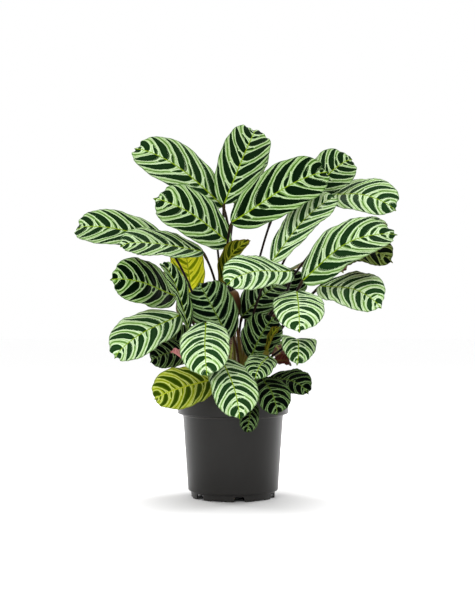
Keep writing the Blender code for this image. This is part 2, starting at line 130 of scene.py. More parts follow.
LEAVES = {
    "crown": Leaf("a", (-10, 15, 319), (26, 68, 409), 53, (-0.05, -1, 0.1), arch=6, twist=-15),
    "upper_left": Leaf("a", (-11, 30, 318), (-107, 20, 382), 54, (0.1, -0.9, 0.4), hook=0.6, sway=5),
    "second_left": Leaf("b", (-3, -5, 275), (-80, -40, 321), 55, (0.1, -0.95, 0.4), hook=0.5, sway=2),
    "upper_right": Leaf("c", (-2, -20, 297), (98, -45, 350), 58, (-0.1, -0.95, 0.35), arch=12, hook=0.6),
    "right_round": Leaf("d", (78, 22, 324), (129, 12, 369), 51, (-0.1, -0.95, 0.4), hook=0.5),
    "right_shoulder": Leaf("d", (103, 48, 333), (170, -40, 312), 52, (0, -0.95, 0.5), arch=10, hook=0.5),
    "slanted": Leaf("c", (41, -30, 254), (107, -40, 324), 46, (-0.6, -0.7, 0.4), arch=6, sway=-2),
    "long_right": Leaf(
        "e", (73, -50, 234), (165, -85, 282), 54, (-0.1, -0.85, 0.5), arch=14, hook=0.5, twist=40, sway=-7,
    ),
    "curled_right": Leaf(
        "e", (114, -5, 250), (165, -50, 257), 52, (0.3, -0.75, 0.6), arch=14, hook=0.6, tone=Tone.SHADE,
    ),
    "edge_right": Leaf("d", (98, 20, 282), (169, 20, 300), 44, (0, -0.22, 0.98), arch=6),
    "mid_right": Leaf("e", (93, -20, 229), (151, -75, 209), 54, (0, -0.8, 0.6), hook=0.5, sway=-3),
    "center": Leaf("c", (61, -60, 244), (-5, -115, 232), 52, (-0.1, -0.8, 0.6), hook=0.5, cup=2),
    "under_center": Leaf(
        "c", (9, -4, 195), (55, 6, 233), 46, (-0.3, -0.85, 0.4), arch=6, tone=Tone.SHADE,
    ),
    "heart": Leaf("f", (66, -80, 223), (66, -138, 186), 53, (0, -0.6, 0.8), hook=0.6),
    "small_right": Leaf("f", (62, -56, 172), (66, -105, 152), 38, (0.2, -0.8, 0.6), arch=13),
    "dark_center": Leaf(
        "f", (18, -46, 152), (42, -54, 195), 44, (-0.2, -0.9, 0.3), arch=6, tone=Tone.SHADE,
    ),
    "left_mid": Leaf("g", (-61, -20, 218), (-124, -65, 236), 55, (-0.05, -0.95, 0.45), hook=0.5),
    "narrow_left": Leaf("g", (-46, -65, 183), (-72, -70, 253), 32, (0.85, -0.48, 0.1), arch=4, cup=6),
    "yellow_back": Leaf(
        "b", (-45, 22, 214), (-54, 30, 278), 38, (0, -0.95, 0.2), arch=4, tone=Tone.YOUNG,
    ),
    "left_long": Leaf("b", (-32, -20, 266), (-117, -55, 273), 52, (0, -0.62, 0.78), arch=4),
    "far_left": Leaf("g", (-76, 0, 280), (-172, 8, 293), 47, (0, -0.85, 0.55), hook=0.5),
    "dark_left": Leaf("g", (-4, -38, 172), (-35, -40, 230), 50, (-0.1, -0.9, 0.3), tone=Tone.SHADE),
    "lower_left": Leaf("g", (-56, -45, 198), (-121, -85, 157), 53, (-0.2, -0.85, 0.5), hook=0.4),
    "dark_low_left": Leaf(
        "h", (-46, -25, 158), (-85, -50, 151), 40, (-0.1, -0.85, 0.5), arch=6, tone=Tone.SHADE,
    ),
    "front_left": Leaf("h", (-28, -80, 191), (-26, -125, 141), 52, (-0.1, -0.7, 0.7), arch=12, hook=0.5),
    "young_left": Leaf(
        "h", (-21, -60, 131), (-78, -105, 115), 46, (-0.05, -0.95, 0.3), arch=5, hook=0.5, tone=Tone.YOUNG,
    ),
    "front_center": Leaf("h", (-11, -80, 153), (7, -120, 98), 48, (0.1, -0.85, 0.55), arch=12, hook=0.5),
    "front_dark": Leaf(
        "f", (30, -75, 134), (45, -110, 101), 38, (0.1, -0.75, 0.65), hook=0.5, tone=Tone.SHADE,
    ),
    "right_low": Leaf(
        "f", (39, -40, 132), (77, -75, 120), 36, (0.1, -0.75, 0.65), arch=6, hook=0.5, tone=Tone.SHADE,
    ),
    "tiny_front": Leaf("f", (37, -85, 156), (23, -108, 137), 32, (0, -0.6, 0.8), arch=5, hook=0.4),
    "hanging_tip": Leaf(
        "h", (20, -90, 109), (15, -104, 81), 20, (0, -0.85, 0.5), arch=4, hook=0.4, cup=2, tone=Tone.SHADE,
    ),
    "olive_upright": Leaf(
        "c", (-11, -10, 222), (15, -45, 276), 24, (-0.5, -0.8, 0.2),
        arch=4, hook=0.6, cup=7, sway=-9, tone=Tone.YOUNG,
    ),
    "shade_low_left": Leaf(
        "g", (-43, -5, 151), (-72, -12, 178), 40, (0.1, -0.9, 0.4), arch=4, tone=Tone.SHADE,
    ),
    "behind_center": Leaf(
        "d", (54, 28, 208), (67, 31, 248), 40, (0.2, -0.9, 0.3), arch=4, tone=Tone.SHADE,
    ),
    "back_crown": Leaf("j", (2, 50, 322), (24, 105, 392), 46, (0.05, -0.8, 0.5)),
    "back_high_left": Leaf("j", (-22, 62, 300), (-74, 136, 334), 50, (0.2, 0.4, 0.85), arch=10),
    "back_high_right": Leaf("k", (44, 56, 309), (102, 120, 338), 50, (-0.2, 0.5, 0.8), arch=10),
    "back_left": Leaf("j", (-48, 55, 236), (-124, 118, 228), 50, (-0.2, 0.45, 0.85), arch=10),
    "back_right": Leaf("k", (44, 52, 240), (128, 112, 250), 50, (0.2, 0.4, 0.85), arch=10),
    "back_mid_left": Leaf("j", (-18, 66, 226), (-54, 137, 188), 50, (-0.1, 0.75, 0.6), arch=12),
    "back_mid_right": Leaf("k", (24, 74, 245), (52, 138, 190), 52, (0.1, 0.8, 0.55), arch=12),
    "back_low_left": Leaf("j", (-38, 54, 182), (-82, 120, 152), 46, (-0.3, 0.6, 0.7), arch=10),
    "back_low": Leaf("k", (2, 66, 172), (-6, 136, 124), 48, (0, 0.75, 0.65), arch=10),
    "back_low_right": Leaf("k", (32, 52, 162), (56, 124, 148), 42, (0.2, 0.5, 0.8), arch=10),
    "rolled_right": Leaf("f", (35, -67, 160), (47, -66, 186), 12, (-0.6, -0.75, 0.2), arch=2, cup=4),
    "red_under": Leaf(
        "f", (43, -62, 150), (60, -72, 149), 16, (0.05, 0.75, 0.65), arch=2, tone=Tone.SHADE,
    ),
    "pink_spear": Leaf(
        "h", (-46, -55, 147), (-64, -70, 162), 11, (0.2, 0.85, 0.5), arch=1, tone=Tone.YOUNG,
    ),
}


def unit(vectors: np.ndarray) -> np.ndarray:
    """Vectors shortened or stretched to length one, along the last axis."""
    vectors = np.asarray(vectors, float)
    return vectors / np.maximum(np.linalg.norm(vectors, axis=-1, keepdims=True), TINY)


def smooth(values: np.ndarray, low: float, high: float) -> np.ndarray:
    """A smooth step that is 0 up to low and 1 from high on: 3t^2 - 2t^3 of the share t between."""
    share = np.clip((np.asarray(values, float) - low) / (high - low), 0, 1)
    return share * share * (3 - 2 * share)


def sine(turns: np.ndarray) -> np.ndarray:
    """A sine wave of size one that repeats with each whole turn."""
    return np.sin(2 * math.pi * turns)


def full_turn(steps: int) -> np.ndarray:
    """Angles all the way round, in even steps from 0."""
    return np.linspace(0, 2 * math.pi, steps, endpoint=False)


def around(radius: np.ndarray, angle: np.ndarray, height: np.ndarray) -> np.ndarray:
    """Places at a distance from an upright axis, each at its own angle and height."""
    return np.stack(np.broadcast_arrays(radius * np.cos(angle), radius * np.sin(angle), height), axis=-1)


def ripples(points: np.ndarray, wavelength: float, count: int, seed: int) -> np.ndarray:
    """Random relief: the sum of count cosine waves with random directions and starts.

    Args:
        points: places, with x, y and z on the last axis.
        wavelength: the waves' middle length. They run from half to twice of it.
        count: how many waves are added.
        seed: of the random draw.

    Returns:
        One value for each place, scaled to a spread of 1 about 0.
    """
    draw = np.random.default_rng(seed)
    ways = unit(draw.normal(size=(count, 3)))
    lengths = wavelength * 2.0 ** draw.uniform(-1, 1, (count, 1))
    turns = points @ (ways / lengths).T + draw.uniform(0, 1, count)
    return np.cos(2 * math.pi * turns).sum(axis=-1) * math.sqrt(2 / count)


def grid_faces(rows: int, columns: int, closed: bool = False) -> np.ndarray:
    """The four-sided faces of a grid of vertices that are numbered row by row.

    Args:
        rows: rows of vertices.
        columns: vertices in each row.
        closed: whether the last column joins the first.

    Returns:
        An array with four vertex numbers for each face.
    """
    row = np.arange(rows - 1)[:, None] * columns
    column = np.arange(columns if closed else columns - 1)[None, :]
    beside = (column + 1) % columns
    corners = (row + column, row + beside, row + columns + beside, row + columns + column)
    return np.stack(corners, axis=-1).reshape(-1, 4)


def ring_faces(rows: int, columns: int, turned_over: bool = False) -> np.ndarray:
    """The faces of a closed shape of rings, with a fan at each end to a vertex in its middle.

    The rings' vertices are numbered ring by ring, and the first and the last ring's middles
    have the next two numbers.

    Args:
        rows: rings of vertices.
        columns: vertices in each ring.
        turned_over: whether the faces look the other way.

    Returns:
        Four vertex numbers for each face. The last two of a fan's faces are alike.
    """
    first = np.arange(columns)
    beside = np.roll(first, -1)
    last = (rows - 1) * columns
    low, high = np.full(columns, last + columns), np.full(columns, last + columns + 1)
    low_fan = np.stack((beside, first, low, low), axis=-1)
    high_fan = np.stack((last + first, last + beside, high, high), axis=-1)
    faces = np.concatenate((grid_faces(rows, columns, closed=True), low_fan, high_fan))
    return faces[:, (1, 0, 3, 2)] if turned_over else faces


def add_piece(
    name: str,
    points: np.ndarray,
    faces: np.ndarray,
    material: bpy.types.Material,
    fields: dict[str, np.ndarray] | None = None,
    crease: float = 180,
) -> bpy.types.Object:
    """A mesh object at the origin, with its place in its mesh.

    Args:
        name: of the object.
        points: vertex places.
        faces: vertex numbers, four a face. A face whose last two are alike is a triangle.
        material: its only material.
        fields: values for each vertex, by attribute name. Two values a vertex make a UV map.
        crease: edges sharper than this many degrees aren't shaded smooth.

    Returns:
        The new object.
    """
    mesh = bpy.data.meshes.new(name)
    sizes = np.where(faces[:, 2] == faces[:, 3], 3, 4)
    corners = faces[np.arange(4) < sizes[:, None]]
    mesh.vertices.add(len(points))
    mesh.vertices.foreach_set("co", np.asarray(points, np.float32).ravel())
    mesh.loops.add(len(corners))
    mesh.loops.foreach_set("vertex_index", corners.astype(np.int32))
    mesh.polygons.add(len(faces))
    starts = np.concatenate(([0], np.cumsum(sizes)[:-1]))
    mesh.polygons.foreach_set("loop_start", starts.astype(np.int32))
    mesh.update(calc_edges=True)
    mesh.validate()
    for label, values in (fields or {}).items():
        values = np.asarray(values, np.float32)
        if values.ndim == 2:
            layer = mesh.uv_layers.new(name=label)
            layer.data.foreach_set("uv", values[corners].ravel())
        else:
            layer = mesh.attributes.new(label, "FLOAT", "POINT")
            layer.data.foreach_set("value", values)
    mesh.shade_smooth()
    if crease < 180:
        mesh.set_sharp_from_angle(angle=math.radians(crease))
    mesh.materials.append(material)
    piece = bpy.data.objects.new(name, mesh)
    bpy.context.scene.collection.objects.link(piece)
    return piece


def place(piece: bpy.types.Object, slot: str, nodes: list[str]) -> None:
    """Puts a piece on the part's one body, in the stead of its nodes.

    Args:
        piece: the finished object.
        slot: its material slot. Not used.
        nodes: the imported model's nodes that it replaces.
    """
    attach(piece, BODY)
    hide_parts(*nodes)
    log.info("%s: %d faces, for %s", piece.name, len(piece.data.polygons), ", ".join(nodes))


def feed(tree: bpy.types.NodeTree, node: bpy.types.Node, values: dict[str | int, "Feed"]) -> None:
    """Leads fields and sockets to a node's slots, and sets plain numbers and colours there.

    Args:
        tree: the material's nodes.
        node: one of them.
        values: what each slot gets, by the slot's name or number.
    """
    for slot, value in values.items():
        value = value.socket if isinstance(value, Field) else value
        if isinstance(value, bpy.types.NodeSocket):
            tree.links.new(value, node.inputs[slot])
        else:
            node.inputs[slot].default_value = (*value, 1) if isinstance(value, tuple) else value


@dataclass(frozen=True)
class Field:
    """A value that varies over a surface: a socket of a material that sums can be done with."""

    tree: bpy.types.NodeTree
    socket: bpy.types.NodeSocket

    def sum_of(self, operation: str, *others: "Field | float") -> "Field":
        """A new field from one Math node.

        Args:
            operation: what the node does.
            others: up to two values that it takes beside this field.

        Returns:
            The node's result.
        """
        node = self.tree.nodes.new("ShaderNodeMath")
        node.operation = operation
        feed(self.tree, node, dict(enumerate((self, *others))))
        return Field(self.tree, node.outputs[0])

    def __add__(self, other: "Field | float") -> "Field":
        """This field plus another value."""
        return self.sum_of("ADD", other)

    def __sub__(self, other: "Field | float") -> "Field":
        """This field less another value."""
        return self.sum_of("SUBTRACT", other)

    def __mul__(self, other: "Field | float") -> "Field":
        """This field times another value."""
        return self.sum_of("MULTIPLY", other)

    def __truediv__(self, other: "Field | float") -> "Field":
        """This field divided by another value."""
        return self.sum_of("DIVIDE", other)

    def __pow__(self, other: "Field | float") -> "Field":
        """This field raised to a power."""
        return self.sum_of("POWER", other)

    def size(self) -> "Field":
        """This field without its sign."""
        return self.sum_of("ABSOLUTE")

    def floor(self) -> "Field":
        """The whole number at or under this field."""
        return self.sum_of("FLOOR")

    def above(self, other: "Field | float") -> "Field":
        """1 where this field is above another value, and 0 elsewhere."""
        return self.sum_of("GREATER_THAN", other)

    def lower(self, other: "Field | float") -> "Field":
        """The lower of this field and another value."""
        return self.sum_of("MINIMUM", other)

    def higher(self, other: "Field | float") -> "Field":
        """The higher of this field and another value."""
        return self.sum_of("MAXIMUM", other)

    def step(self, low: float, high: float) -> "Field":
        """A smooth step of this field.

        Args:
            low: where the step is 0.
            high: where it is 1. It may be under low.

        Returns:
            The step, from 0 to 1.
        """
        node = self.tree.nodes.new("ShaderNodeMapRange")
        node.interpolation_type = "SMOOTHSTEP"
        first, last = (0, 1) if low < high else (1, 0)
        limits = {"From Min": min(low, high), "From Max": max(low, high), "To Min": first, "To Max": last}
        feed(self.tree, node, {"Value": self, **limits})
        return Field(self.tree, node.outputs["Result"])


Feed = Field | bpy.types.NodeSocket | Colour | float


class Paint:
    """A material in the making: its shader, and the fields and colours that lead to it."""

    # The numbers of the Mix node's colour slots
    FIRST_COLOUR, SECOND_COLOUR, MIXED_COLOUR = 6, 7, 2

    def __init__(self, name: str, roughness: float, specular: float) -> None:
        """A new material with one Principled shader.

        Args:
            name: of the material.
            roughness: its even roughness.
            specular: its specular level.
        """
        self.material = bpy.data.materials.new(name)
        self.material.use_nodes = True
        self.tree = self.material.node_tree
        self.shader = self.tree.nodes["Principled BSDF"]
        feed(self.tree, self.shader, {"Roughness": roughness, "Specular IOR Level": specular})

    def attribute(self, name: str) -> Field:
        """The value that the piece's mesh carries at its vertices under a name.

        Args:
            name: of the attribute.

        Returns:
            The value.
        """
        node = self.tree.nodes.new("ShaderNodeAttribute")
        node.attribute_name = name
        return Field(self.tree, node.outputs["Fac"])

    def axes(self, uv_map: str = "") -> list[Field]:
        """The coordinates of a UV map, or the piece's own x, y and z.

        Args:
            uv_map: its name, or nothing for the piece's own coordinates.

        Returns:
            A field for each coordinate.
        """
        if uv_map:
            source = self.tree.nodes.new("ShaderNodeUVMap")
            source.uv_map = uv_map
        else:
            source = self.tree.nodes.new("ShaderNodeTexCoord")
        split = self.tree.nodes.new("ShaderNodeSeparateXYZ")
        feed(self.tree, split, {0: source.outputs["UV" if uv_map else "Object"]})
        return [Field(self.tree, output) for output in split.outputs]

    def point(self, *values: Field | float) -> bpy.types.NodeSocket:
        """A place made of up to three values.

        Args:
            values: its coordinates. Those left out are 0.

        Returns:
            The place.
        """
        node = self.tree.nodes.new("ShaderNodeCombineXYZ")
        feed(self.tree, node, dict(enumerate(values)))
        return node.outputs[0]

    def noise(self, place: bpy.types.NodeSocket, scale: float, detail: float = 2) -> Field:
        """Soft noise.

        Args:
            place: where it is read.
            scale: how many of its waves lie in a unit of place.
            detail: how many finer layers are added.

        Returns:
            The noise, from -0.5 to 0.5 about 0.
        """
        node = self.tree.nodes.new("ShaderNodeTexNoise")
        feed(self.tree, node, {"Scale": scale, "Detail": detail, "Vector": place})
        return Field(self.tree, node.outputs["Fac"]) - 0.5

    def draw(self, *values: Field | float) -> Field:
        """A random number from 0 to 1, even wherever the values are even.

        Args:
            values: up to three values that it is drawn from.

        Returns:
            The number.
        """
        node = self.tree.nodes.new("ShaderNodeTexWhiteNoise")
        feed(self.tree, node, {"Vector": self.point(*values)})
        return Field(self.tree, node.outputs["Value"])

    def mix(
        self,
        share: Field,
        first: Colour | bpy.types.NodeSocket,
        second: Colour | bpy.types.NodeSocket,
    ) -> bpy.types.NodeSocket:
        """A colour between two others.

        Args:
            share: of the second colour.
            first: the colour where share is 0.
            second: the colour where share is 1.

        Returns:
            The mixed colour.
        """
        node = self.tree.nodes.new("ShaderNodeMix")
        node.data_type = "RGBA"
        feed(self.tree, node, {"Factor": share, self.FIRST_COLOUR: first, self.SECOND_COLOUR: second})
        return node.outputs[self.MIXED_COLOUR]

    def ramp(self, along: Field, stops: list[tuple[float, Colour]]) -> bpy.types.NodeSocket:
        """A colour read from a row of stops.

        Args:
            along: the place in the row.
            stops: the places and colours, from the lowest place to the highest.

        Returns:
            The colour.
        """
        low, high = stops[0][0], stops[-1][0]
        node = self.tree.nodes.new("ShaderNodeValToRGB")
        elements = node.color_ramp.elements
        while len(elements) < len(stops):
            elements.new(0.5)
        for element, (position, colour) in zip(elements, stops):
            element.position = (position - low) / (high - low)
            element.color = (*colour, 1)
        feed(self.tree, node, {"Fac": (along - low) / (high - low)})
        return node.outputs["Color"]

    def lit(self, colour: bpy.types.NodeSocket, amount: Field) -> bpy.types.NodeSocket:
        """A colour made lighter or darker by an amount about 1.

        Args:
            colour: the colour to start from.
            amount: what it is multiplied by.

        Returns:
            The new colour.
        """
        node = self.tree.nodes.new("ShaderNodeVectorMath")
        node.operation = "SCALE"
        feed(self.tree, node, {0: colour, "Scale": amount})
        return node.outputs[0]

    def colour(self, socket: bpy.types.NodeSocket) -> None:
        """Leads a colour to the shader."""
        feed(self.tree, self.shader, {"Base Color": socket})

    def rough(self, amount: Field) -> None:
        """Leads a varying roughness to the shader."""
        feed(self.tree, self.shader, {"Roughness": amount})

    def bump(self, height: Field, depth: float, strength: float) -> None:
        """Leads relief to the shader.

        Args:
            height: the relief.
            depth: how many metres each unit of it stands for.
            strength: the share of it that shows.
        """
        node = self.tree.nodes.new("ShaderNodeBump")
        feed(self.tree, node, {"Strength": strength, "Distance": depth, "Height": height})
        feed(self.tree, self.shader, {"Normal": node.outputs["Normal"]})


@dataclass(frozen=True)
class Bands:
    """The colours of the bars and of the streaked bands between them."""

    core: Colour
    bar: Colour
    bar_edge: Colour
    border: Colour
    band: Colour
    ground: Colour

    def rim(self) -> list[tuple[float, Colour]]:
        """The colours by their distances from a bar's outline, in shares of the bars' spacing.

        Returns:
            The stops of a ramp.
        """
        distances = (-0.18, -0.05, -0.005, 0.015, 0.035, 0.08)
        colours = (self.core, self.bar, self.bar_edge, self.ground, self.border, self.border)
        return list(zip(distances, colours))

    def streaks(self) -> list[tuple[float, Colour]]:
        """The colours by their distances from the green line in the middle of a band.

        Returns:
            The stops of a ramp.
        """
        line = [(distance, self.ground) for distance in (0, 0.035)]
        bands = [(distance, self.band) for distance in (0.07, 0.11, 0.18, 0.24, 0.33, 0.5)]
        borders = [(distance, self.border) for distance in (0.15, 0.28, 0.40)]
        return sorted(line + bands + borders)


@dataclass(frozen=True)
class LeafFinish:
    """The colours of one kind of blade, at its deepest and at its palest, and the form of its bars.

    bars is their count along a blade, and crowding, lean and curve bend them. A long bar
    lies at middle within its number. long_width and short_width are half widths, in shares
    of the bars' spacing, and long_reach and short_reach lengths, in shares of the half blade.
    What ends in spread is the most that chance adds. Of the short bars, short_share are
    there. The midrib's half width falls by midrib_taper up to the tip.
    """

    deep: Bands
    pale: Bands
    midrib: Colour
    margin: Colour
    underside: Colour
    under_bar: Colour
    roughness: float = 0.42
    specular: float = 0.01
    relief: float = 0.3 * MM
    bars: float = 4.9
    crowding: float = 0.08
    lean: float = 0.15
    curve: float = 0.24
    wander: float = 0.035
    half_shift: float = 0.45
    breadth: float = 1.26
    slimming: float = 0.3
    bluntness: float = 0.6
    sharpness: float = 0.75
    middle: float = 0.43
    middle_spread: float = 0.14
    long_width: float = 0.54
    short_width: float = 0.17
    width_spread: float = 0.14
    long_reach: float = 0.98
    long_spread: float = 0.16
    short_reach: float = 0.24
    short_spread: float = 0.24
    short_share: float = 0.7
    veins: int = 6
    midrib_width: float = 1.05 * MM
    midrib_taper: float = 0.55 * MM
    under_midrib: float = 1.5
    margin_width: Span = (1.5 * MM, 0.4 * MM)

    def half_width(self, share: Field, slim: Field, width: Field) -> Field:
        """Half the width of a bar, which starts blunt at the midrib and ends in a point.

        It is s^0.6 (1 - s)^0.75 times the width, with s the share of the bar's length.

        Args:
            share: along the bar. It may run under 0 and over 1.
            slim: how broad the blade's bars are.
            width: of this bar.

        Returns:
            The half width, in shares of the bars' spacing.
        """
        share = share.higher(0).lower(1)
        return share**self.bluntness * (share * -1 + 1) ** self.sharpness * slim * width

    def material(self, name: str) -> bpy.types.Material:
        """The barred blade, painted by the blade's own map: along it, and across from edge to edge.

        A bar follows a curve that leaves the midrib and bends to the tip: its number is
        (along + crowding along^6 - lean r - curve r^2.5) times the count of bars. Here r is
        the distance from the midrib as a share of the half width, times the root of that half
        width's share of the widest one, so that the bars stay chevrons up to the blunt tip.
        The two halves are shifted against each other.
        Within each number lies one long bar and, at its edge, one short one. Near a bar the
        colours follow the distance from its outline, and further off they run along the veins,
        with a green line in the middle of each band.

        Args:
            name: of the material.

        Returns:
            The material.
        """
        paint = Paint(name, self.roughness, self.specular)
        along, sideways, _ = paint.axes("blade")
        # pale carries each blade's paleness, partly its own age and partly painted light
        labels = ("seed", "pale", "under", "off_midrib", "edge", "reach")
        seed, pale, under, off, edge, reach = (paint.attribute(label) for label in labels)
        across = sideways * 2 - 1
        place = paint.point(along * 3, across, seed * 40)
        swing = paint.noise(place, 3)
        away = (across.size() + swing * 0.07).higher(0)
        reach = (reach + swing * 0.06).higher(0)
        side = across.above(0)
        run = along + along**6 * self.crowding + paint.noise(place, 1.6) * self.wander
        run = (run - reach * self.lean - reach**2.5 * self.curve) * self.bars
        run = run + side * self.half_shift + seed * 2
        number = run.floor()
        within = run - number
        off_line = within.lower(within * -1 + 1)
        chance = paint.draw(number, side + seed * 31)
        chance_too = paint.draw(number, side + seed * 57)
        slim = pale * -self.slimming + self.breadth
        spread = chance_too * self.width_spread
        long_share = (away + 0.03) / (chance * self.long_spread + self.long_reach)
        long_half = self.half_width(long_share, slim, spread + self.long_width)
        long_gap = (within - (chance * self.middle_spread + self.middle)).size() - long_half
        short_end = chance * self.short_spread + self.short_reach
        short_half = self.half_width((away - 0.01) / short_end, slim, spread + self.short_width)
        missing = chance_too.above(self.short_share) + (away - short_end).higher(0) * 2
        gap = long_gap.lower(off_line - short_half + missing)
        streaks = paint.noise(paint.point(run * 9, away * 1.5, seed * 30), 1, 3)
        mottle = paint.noise(paint.point(along * 26, across * 12, seed * 20), 1, 3)
        near, far = (
            paint.mix(pale, paint.ramp(distance, deep), paint.ramp(distance, light))
            for distance, deep, light in (
                (gap + streaks * 0.02 + mottle * 0.02, self.deep.rim(), self.pale.rim()),
                (off_line + streaks * 0.10 + mottle * 0.03, self.deep.streaks(), self.pale.streaks()),
            )
        )
        upper = paint.mix(gap.step(0.05, 0.11), near, far)
        upper = paint.lit(upper, (streaks * 0.3 + mottle * 0.35 + 1) * (chance * 0.1 + 0.95))
        rib = off.size() / (along * -self.midrib_taper + self.midrib_width)
        upper = paint.mix(rib.step(1.1, 0.6), upper, self.midrib)
        thin = (edge + streaks * 0.0012).step(*self.margin_width) * 0.6
        upper = paint.mix(thin, upper, self.margin)
        lower = paint.mix(gap.step(0.06, -0.08), self.underside, self.under_bar)
        lower = paint.mix((rib / self.under_midrib).step(1.3, 0.6) * 0.4, lower, self.midrib)
        paint.colour(paint.mix(under.step(0.4, 0.6), upper, lower))
        ridges = (run * self.veins * 2 * math.pi).sum_of("SINE") * 0.5
        paint.bump(ridges + streaks + mottle * 0.6, self.relief, 0.5)
        paint.rough(streaks * 0.12 + gap.step(-0.05, 0.1) * 0.06 + self.roughness)
        return paint.material


# In the bright blades a bar's core is a little lighter than the bar: a painted sheen
DEEP = Bands(
    core=(0.0006, 0.0045, 0.0008),
    bar=(0.0004, 0.004, 0.0004),
    bar_edge=(0.003, 0.026, 0.0015),
    border=(0.46, 0.60, 0.325),
    band=(0.145, 0.275, 0.052),
    ground=(0.027, 0.082, 0.006),
)
PALE = Bands(
    core=(0.016, 0.050, 0.013),
    bar=(0.006, 0.030, 0.006),
    bar_edge=(0.022, 0.085, 0.016),
    border=(0.72, 0.87, 0.60),
    band=(0.385, 0.55, 0.235),
    ground=(0.11, 0.24, 0.036),
)
# Painted shade: darker colours for the blades that sit in shade
SHADE_DEEP = Bands(
    core=(0.0002, 0.0008, 0.0003),
    bar=(0.0003, 0.0016, 0.0004),
    bar_edge=(0.0016, 0.008, 0.0012),
    border=(0.150, 0.240, 0.088),
    band=(0.036, 0.070, 0.014),
    ground=(0.012, 0.030, 0.003),
)
SHADE_PALE = Bands(
    core=(0.0005, 0.0025, 0.001),
    bar=(0.001, 0.007, 0.002),
    bar_edge=(0.005, 0.030, 0.007),
    border=(0.34, 0.48, 0.25),
    band=(0.110, 0.195, 0.056),
    ground=(0.036, 0.080, 0.012),
)
YOUNG_DEEP = Bands(
    core=(0.024, 0.048, 0.0012),
    bar=(0.046, 0.086, 0.0014),
    bar_edge=(0.096, 0.144, 0.0024),
    border=(0.52, 0.58, 0.17),
    band=(0.300, 0.350, 0.018),
    ground=(0.180, 0.245, 0.005),
)
YOUNG_PALE = Bands(
    core=(0.18, 0.27, 0.003),
    bar=(0.26, 0.36, 0.003),
    bar_edge=(0.44, 0.53, 0.005),
    border=(0.92, 0.94, 0.07),
    band=(0.84, 0.86, 0.022),
    ground=(0.66, 0.72, 0.012),
)
OLIVE = Bands(
    core=(0.014, 0.024, 0.0010),
    bar=(0.022, 0.034, 0.0012),
    bar_edge=(0.045, 0.058, 0.0020),
    border=(0.200, 0.225, 0.016),
    band=(0.120, 0.130, 0.008),
    ground=(0.070, 0.068, 0.005),
)
TAWNY = Bands(
    core=(0.0010, 0.0030, 0.0006),
    bar=(0.0020, 0.0060, 0.0008),
    bar_edge=(0.008, 0.016, 0.0015),
    border=(0.24, 0.32, 0.10),
    band=(0.085, 0.120, 0.018),
    ground=(0.045, 0.066, 0.006),
)
RUST = Bands(
    core=(0.008, 0.0016, 0.0008),
    bar=(0.0144, 0.0032, 0.0016),
    bar_edge=(0.024, 0.0064, 0.0024),
    border=(0.068, 0.028, 0.0096),
    band=(0.048, 0.016, 0.0064),
    ground=(0.036, 0.0096, 0.0048),
)
ROSE = Bands(
    core=(0.176, 0.048, 0.048),
    bar=(0.24, 0.072, 0.072),
    bar_edge=(0.304, 0.104, 0.104),
    border=(0.496, 0.272, 0.264),
    band=(0.4, 0.176, 0.176),
    ground=(0.336, 0.128, 0.128),
)

FINISHES = {
    Look.BRIGHT: LeafFinish(
        DEEP, PALE,
        midrib=(0.19, 0.30, 0.008),
        margin=(0.016, 0.070, 0.006),
        underside=(0.13, 0.10, 0.05),
        under_bar=(0.06, 0.025, 0.02),
    ),
    # Painted shade, for the blades that sit in shade
    Look.SHADE: LeafFinish(
        SHADE_DEEP, SHADE_PALE,
        midrib=(0.07, 0.12, 0.012),
        margin=(0.006, 0.015, 0.003),
        underside=(0.075, 0.035, 0.02),
        under_bar=(0.03, 0.010, 0.008),
        breadth=1.42,
    ),
    Look.YOUNG: LeafFinish(
        YOUNG_DEEP, YOUNG_PALE,
        midrib=(0.36, 0.43, 0.02),
        margin=(0.08, 0.12, 0.005),
        underside=(0.30, 0.27, 0.04),
        under_bar=(0.16, 0.14, 0.02),
        breadth=1.1,
    ),
    Look.SHEATH: LeafFinish(
        OLIVE, OLIVE,
        midrib=(0.19, 0.21, 0.010),
        margin=(0.10, 0.05, 0.006),
        underside=(0.13, 0.12, 0.010),
        under_bar=(0.08, 0.065, 0.006),
    ),
    Look.CURLED: LeafFinish(
        TAWNY, TAWNY,
        midrib=(0.12, 0.16, 0.012),
        margin=(0.012, 0.014, 0.003),
        underside=(0.075, 0.035, 0.02),
        under_bar=(0.03, 0.010, 0.008),
    ),
    Look.RED: LeafFinish(
        RUST, RUST,
        midrib=(0.06, 0.05, 0.01),
        margin=(0.02, 0.006, 0.002),
        underside=(0.07, 0.02, 0.012),
        under_bar=(0.04, 0.010, 0.008),
    ),
    Look.PINK: LeafFinish(
        ROSE, ROSE,
        midrib=(0.50, 0.20, 0.18),
        margin=(0.35, 0.10, 0.09),
        underside=(0.55, 0.25, 0.24),
        under_bar=(0.42, 0.14, 0.14),
    ),
}

LOOKS = {Tone.BRIGHT: Look.BRIGHT, Tone.SHADE: Look.SHADE, Tone.YOUNG: Look.YOUNG}
ODD_LOOKS = {
    "olive_upright": Look.SHEATH,
    "rolled_right": Look.SHEATH,
    "curled_right": Look.CURLED,
    "red_under": Look.RED,
    "pink_spear": Look.PINK,
}

